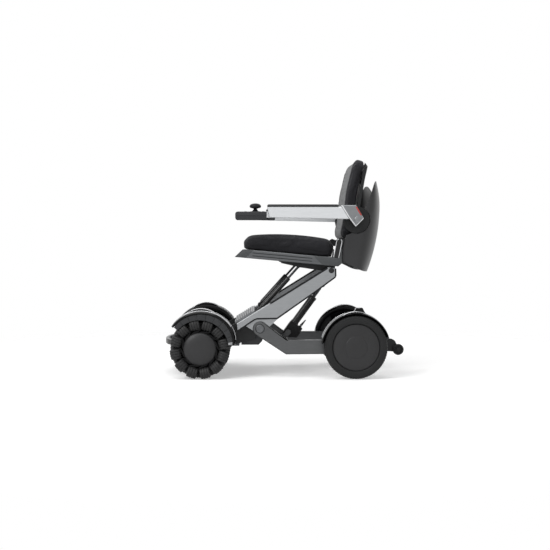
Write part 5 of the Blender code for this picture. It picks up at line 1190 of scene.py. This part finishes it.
pad = rounded_slab("back_pad", back_place, 0.171, 0.202, 0.040, back_crown, 0.036, 0.010)
for v in pad.data.vertices:
    over = max(back_depth(v.co) - BACK_REST, 0)
    v.co.x -= over * cos(BACK_TILT)
    v.co.z += over * sin(BACK_TILT)
upholstered(pad, "back", "back_cushion")
pad.data.materials.append(mesh_cloth)
for face in pad.data.polygons:
    if back_depth(face.center) < MESH_DEPTH and abs(face.center.y) < MESH_HALF:
        face.material_index = 1


# Armrests: box extrusions in bright satin aluminium with a bevelled lower edge and a thin black pad;
# a grey knee plate with polished edges turns on the back frame's hub and carries a red reflector.
ARM_Y, ARM_HALF = 0.2615, 0.014
ARM_TOP, ARM_FRONT = 0.7055, -0.075
JOINT_X = ARM_FRONT + 0.302
# Brushed along the armrest like the arms, brighter, in lines that are drawn 0.8 mm apart.
bright = surfaced("bright_satin_aluminium", "#d3d5d7", 1.0, 0.34, ("#c8cacc", "#dddfe1"), (1, 4),
                  brushed=(0, (25, 300, 1200)), rough=(0, 1, 0.28, 0.40))
paint(bright, "armrest_left", "armrest_right")
paint(plate_grey, "armrest_knee_left", "armrest_knee_right")
# Skinned polyurethane foam: dull black, with pores drawn 2.4 mm apart.
soft_pad = surfaced("black_polyurethane_armpad", "#1c1c1e", 0.0, 0.6, ("#161617", "#242426"), cells=(420, 1),
                    bump=(0.3, 0.0005))
# Reflector prisms are 2 mm across, in a regular grid.
reflector = surfaced("red_reflector_acrylic", "#b8281f", 0.0, 0.25, ("#c4352a", "#9c1e17"), cells=(500, 0),
                     Coat_Weight=0.5)
arm_pad = [(ARM_FRONT, ARM_TOP + 0.0003), *shifted((JOINT_X, ARM_TOP), (-0.008, 0.0003), (-0.01, 0.0075),
                                                   (-0.014, 0.01))]
arm_pad += shifted((ARM_FRONT, ARM_TOP), (0.006, 0.01), (0.001, 0.007))
corners = [(JOINT_X + 0.0006, 0.7120), (JOINT_X + 0.0296, 0.6650),
           *shifted(ARMREST_PIVOT, (-0.008, -0.03), (0.026, 0.004), (-0.006, 0.058))]
knee_edges = [[shift(corners[k], dx, dz) for k, dx, dz in edge] for edge in (
    ((0, 0.0004, -0.0006), (0, 0.0074, -0.0006), (1, 0.0052, 0.001), (2, 0.0012, 0.0056), (2, 0.0004, 0.0008),
     (1, 0.0002, 0)),
    ((2, 0.0006, 0.0008), (2, 0.0006, 0.004), (3, -0.004, 0.0008), (3, -0.0008, 0)))]
a, b = along(corners[4], corners[3], 0.006), along(corners[4], corners[3], 0.048)
red = [along(a, b, u, v) for u, v in ((0, -0.0004), (0, -0.006), (0.039, -0.006), (0.042, -0.0004))]
pin_cover = shifted((0, ARM_Y + ARM_HALF), (0, 0.0042), (0.0118, 0.0042), (0.013, 0.0034), (0.0132, 0.0002),
                    (0.0124, 0.0002), (0.0124, 0.0034), (0, 0.0034))
for side, sign in SIDES:
    body = "armrest_" + side
    face_in, face_out = sign * (ARM_Y - ARM_HALF), sign * (ARM_Y + ARM_HALF)
    pad = plated("armrest_pad_cover_" + side, arm_pad, face_in - sign * 0.001, face_out + sign * 0.001,
                 0.0030, 4)
    hang(pad, body, "black_plastic", soft_pad, "armrest_pad_" + side)
    edges = [plated("edge", edge, face_out - sign * 0.001, face_out + sign * 0.0005, 0.0003, 1)
             for edge in knee_edges]
    hang(joined("knee_polished_edges_" + side, *edges), body, "armrest_silver", chrome)
    cover = turned("knee_pin_cover_" + side, pin_cover, (ARMREST_PIVOT[0], 0, ARMREST_PIVOT[1]),
                   (0, sign, 0), 40, closed=True)
    hang(cover, body, "rail_grey", plate_grey)
    hang(plated("knee_reflector_" + side, red, face_in - sign * 0.0002, face_out + sign * 0.0006, 0.0005),
         body, "black_plastic", reflector)


# Joystick: a slim moulded box ahead of the left armrest with a mushroom knob on a rubber gaiter and
# two grey keys. The gimbal is a steel ring under the gaiter.
BOX_REAR, BOX_FRONT = ARM_FRONT - 0.0015, ARM_FRONT - 0.1300
BOX_TOP, BOX_LOW, BOX_Y = 0.6856, 0.6511, -ARM_Y
STICK_X, POWER_X, HORN_X = BOX_REAR - 0.0465, BOX_REAR - 0.014, BOX_REAR - 0.088
case = [*shifted((BOX_FRONT, BOX_LOW), (0, 0.01), (0.002, 0.003), (0.008, 0)),
        *shifted((BOX_REAR, BOX_LOW), (-0.001, 0), (0, 0.001)),
        *shifted((BOX_REAR, BOX_TOP), (0, -0.001), (-0.001, 0)),
        *shifted((BOX_FRONT, BOX_TOP), (0.01, 0), (0.003, -0.0022), (0, -0.008))]
case = plated("case", case, BOX_Y - 0.025, BOX_Y + 0.025, 0.0014, 3)
tongue = shifted((BOX_REAR, 0), (-0.02, 0.6503), (0.031, 0.6503), (0.034, 0.653), (0.034, 0.6612),
                 (-0.02, 0.6612))
tongue = plated("tongue", tongue, BOX_Y - 0.011, BOX_Y + 0.011, 0.0016, 3)
seam = [(BOX_FRONT + 0.001, 0.6680), (BOX_FRONT + 0.001, 0.6688), (BOX_REAR + 0.0002, 0.6688),
        (BOX_REAR + 0.0002, 0.6680)]
seam = plated("seam", seam, BOX_Y - 0.0253, BOX_Y + 0.0253, 0.0)
for part, radius, x, depth in ((case, 0.0190, STICK_X, 0.027), (seam, 0.0200, STICK_X, 0.027),
                               (case, 0.0058, POWER_X, 0.007), (case, 0.0058, HORN_X, 0.007)):
    well = [(0, BOX_TOP + 0.01), (radius, BOX_TOP + 0.01), (radius, BOX_TOP - depth), (0, BOX_TOP - depth)]
    cut_out(part, turned("well", well, (x, BOX_Y, 0), (0, 0, 1), 40))
hang(joined("joystick_case", case, tongue), "armrest_left", "black_plastic", grained, "joystick_housing")
hang(seam, "armrest_left", "rubber", rubber_strip)
at = (STICK_X, BOX_Y, 0)
rim = shifted((0, BOX_TOP), (0.0186, -0.004), (0.0186, 0.0006), (0.0192, 0.0014), (0.0212, 0.001),
              (0.022, -0.0002), (0.022, -0.001))
hang(turned("joystick_bezel", rim, at, (0, 0, 1), 56, closed=True), "armrest_left", "rubber", rubber_strip)
hoop = [(0.0125, 0.6698), (0.0125, 0.6754), (0.0131, 0.6756), (0.0159, 0.6756), (0.0165, 0.6750),
        (0.0165, 0.6702), (0.0159, 0.6696), (0.0131, 0.6696)]
hang(turned("gimbal_ring", hoop, at, (0, 0, 1), 48, closed=True), "gimbal", "steel", zinc, "joystick_gimbal")
knob = shifted((0, BOX_TOP + 0.015), (0, 0.019), (0.006, 0.0187), (0.012, 0.0176), (0.017, 0.0158),
               (0.0206, 0.0132), (0.0226, 0.0104), (0.0235, 0.0072), (0.0233, 0.0044), (0.0222, 0.0022),
               (0.0196, 0.0006), (0.016, -0.0002), (0.011, -0.0014), (0.0082, -0.0026), (0.006, -0.005))
knob += [(0.0055, BOX_TOP + 0.0020), (0.0055, 0.6640), (0, 0.6640)]
hang(turned("joystick_knob", knob, at, (0, 0, 1), 56), "stick", "rubber", rubber_strip, "joystick_stick")
folds = shifted((0, BOX_TOP), (0.0058, 0.0096), (0.007, 0.0098), (0.0084, 0.0093), (0.0078, 0.0086),
                (0.0098, 0.0078), (0.009, 0.0062), (0.0114, 0.005), (0.0106, 0.0036), (0.0138, 0.0022),
                (0.014, 0.0006), (0.0172, -0.0006), (0.0166, -0.0016), (0.012, 0.0002), (0.0088, 0.003),
                (0.0058, 0.006))
gaiter = turned("joystick_gaiter", folds, at, (0, 0, 1), 56, closed=True)
hang(gaiter, None, "rubber", rubber_strip)
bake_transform(gaiter)
# Moulded keys: mid grey and matt, with their very fine grain drawn at 1.1 mm, so that it shows.
keys = surfaced("grey_moulded_key", "#8b8d8f", 0.0, 0.5, ("#808284", "#949698"), (900, 3))
key = shifted((0, BOX_TOP), (0, 0.0014), (0.003, 0.0015), (0.0044, 0.0018), (0.0052, 0.0016),
              (0.0055, 0.0008), (0.0055, -0.0035), (0, -0.0035))
for name, x in (("power", POWER_X), ("horn", HORN_X)):
    hang(turned("joystick_%s_key" % name, key, (x, BOX_Y, 0), (0, 0, 1), 32), name + "_button", "button_grey",
         keys, "joystick_%s_button" % name)
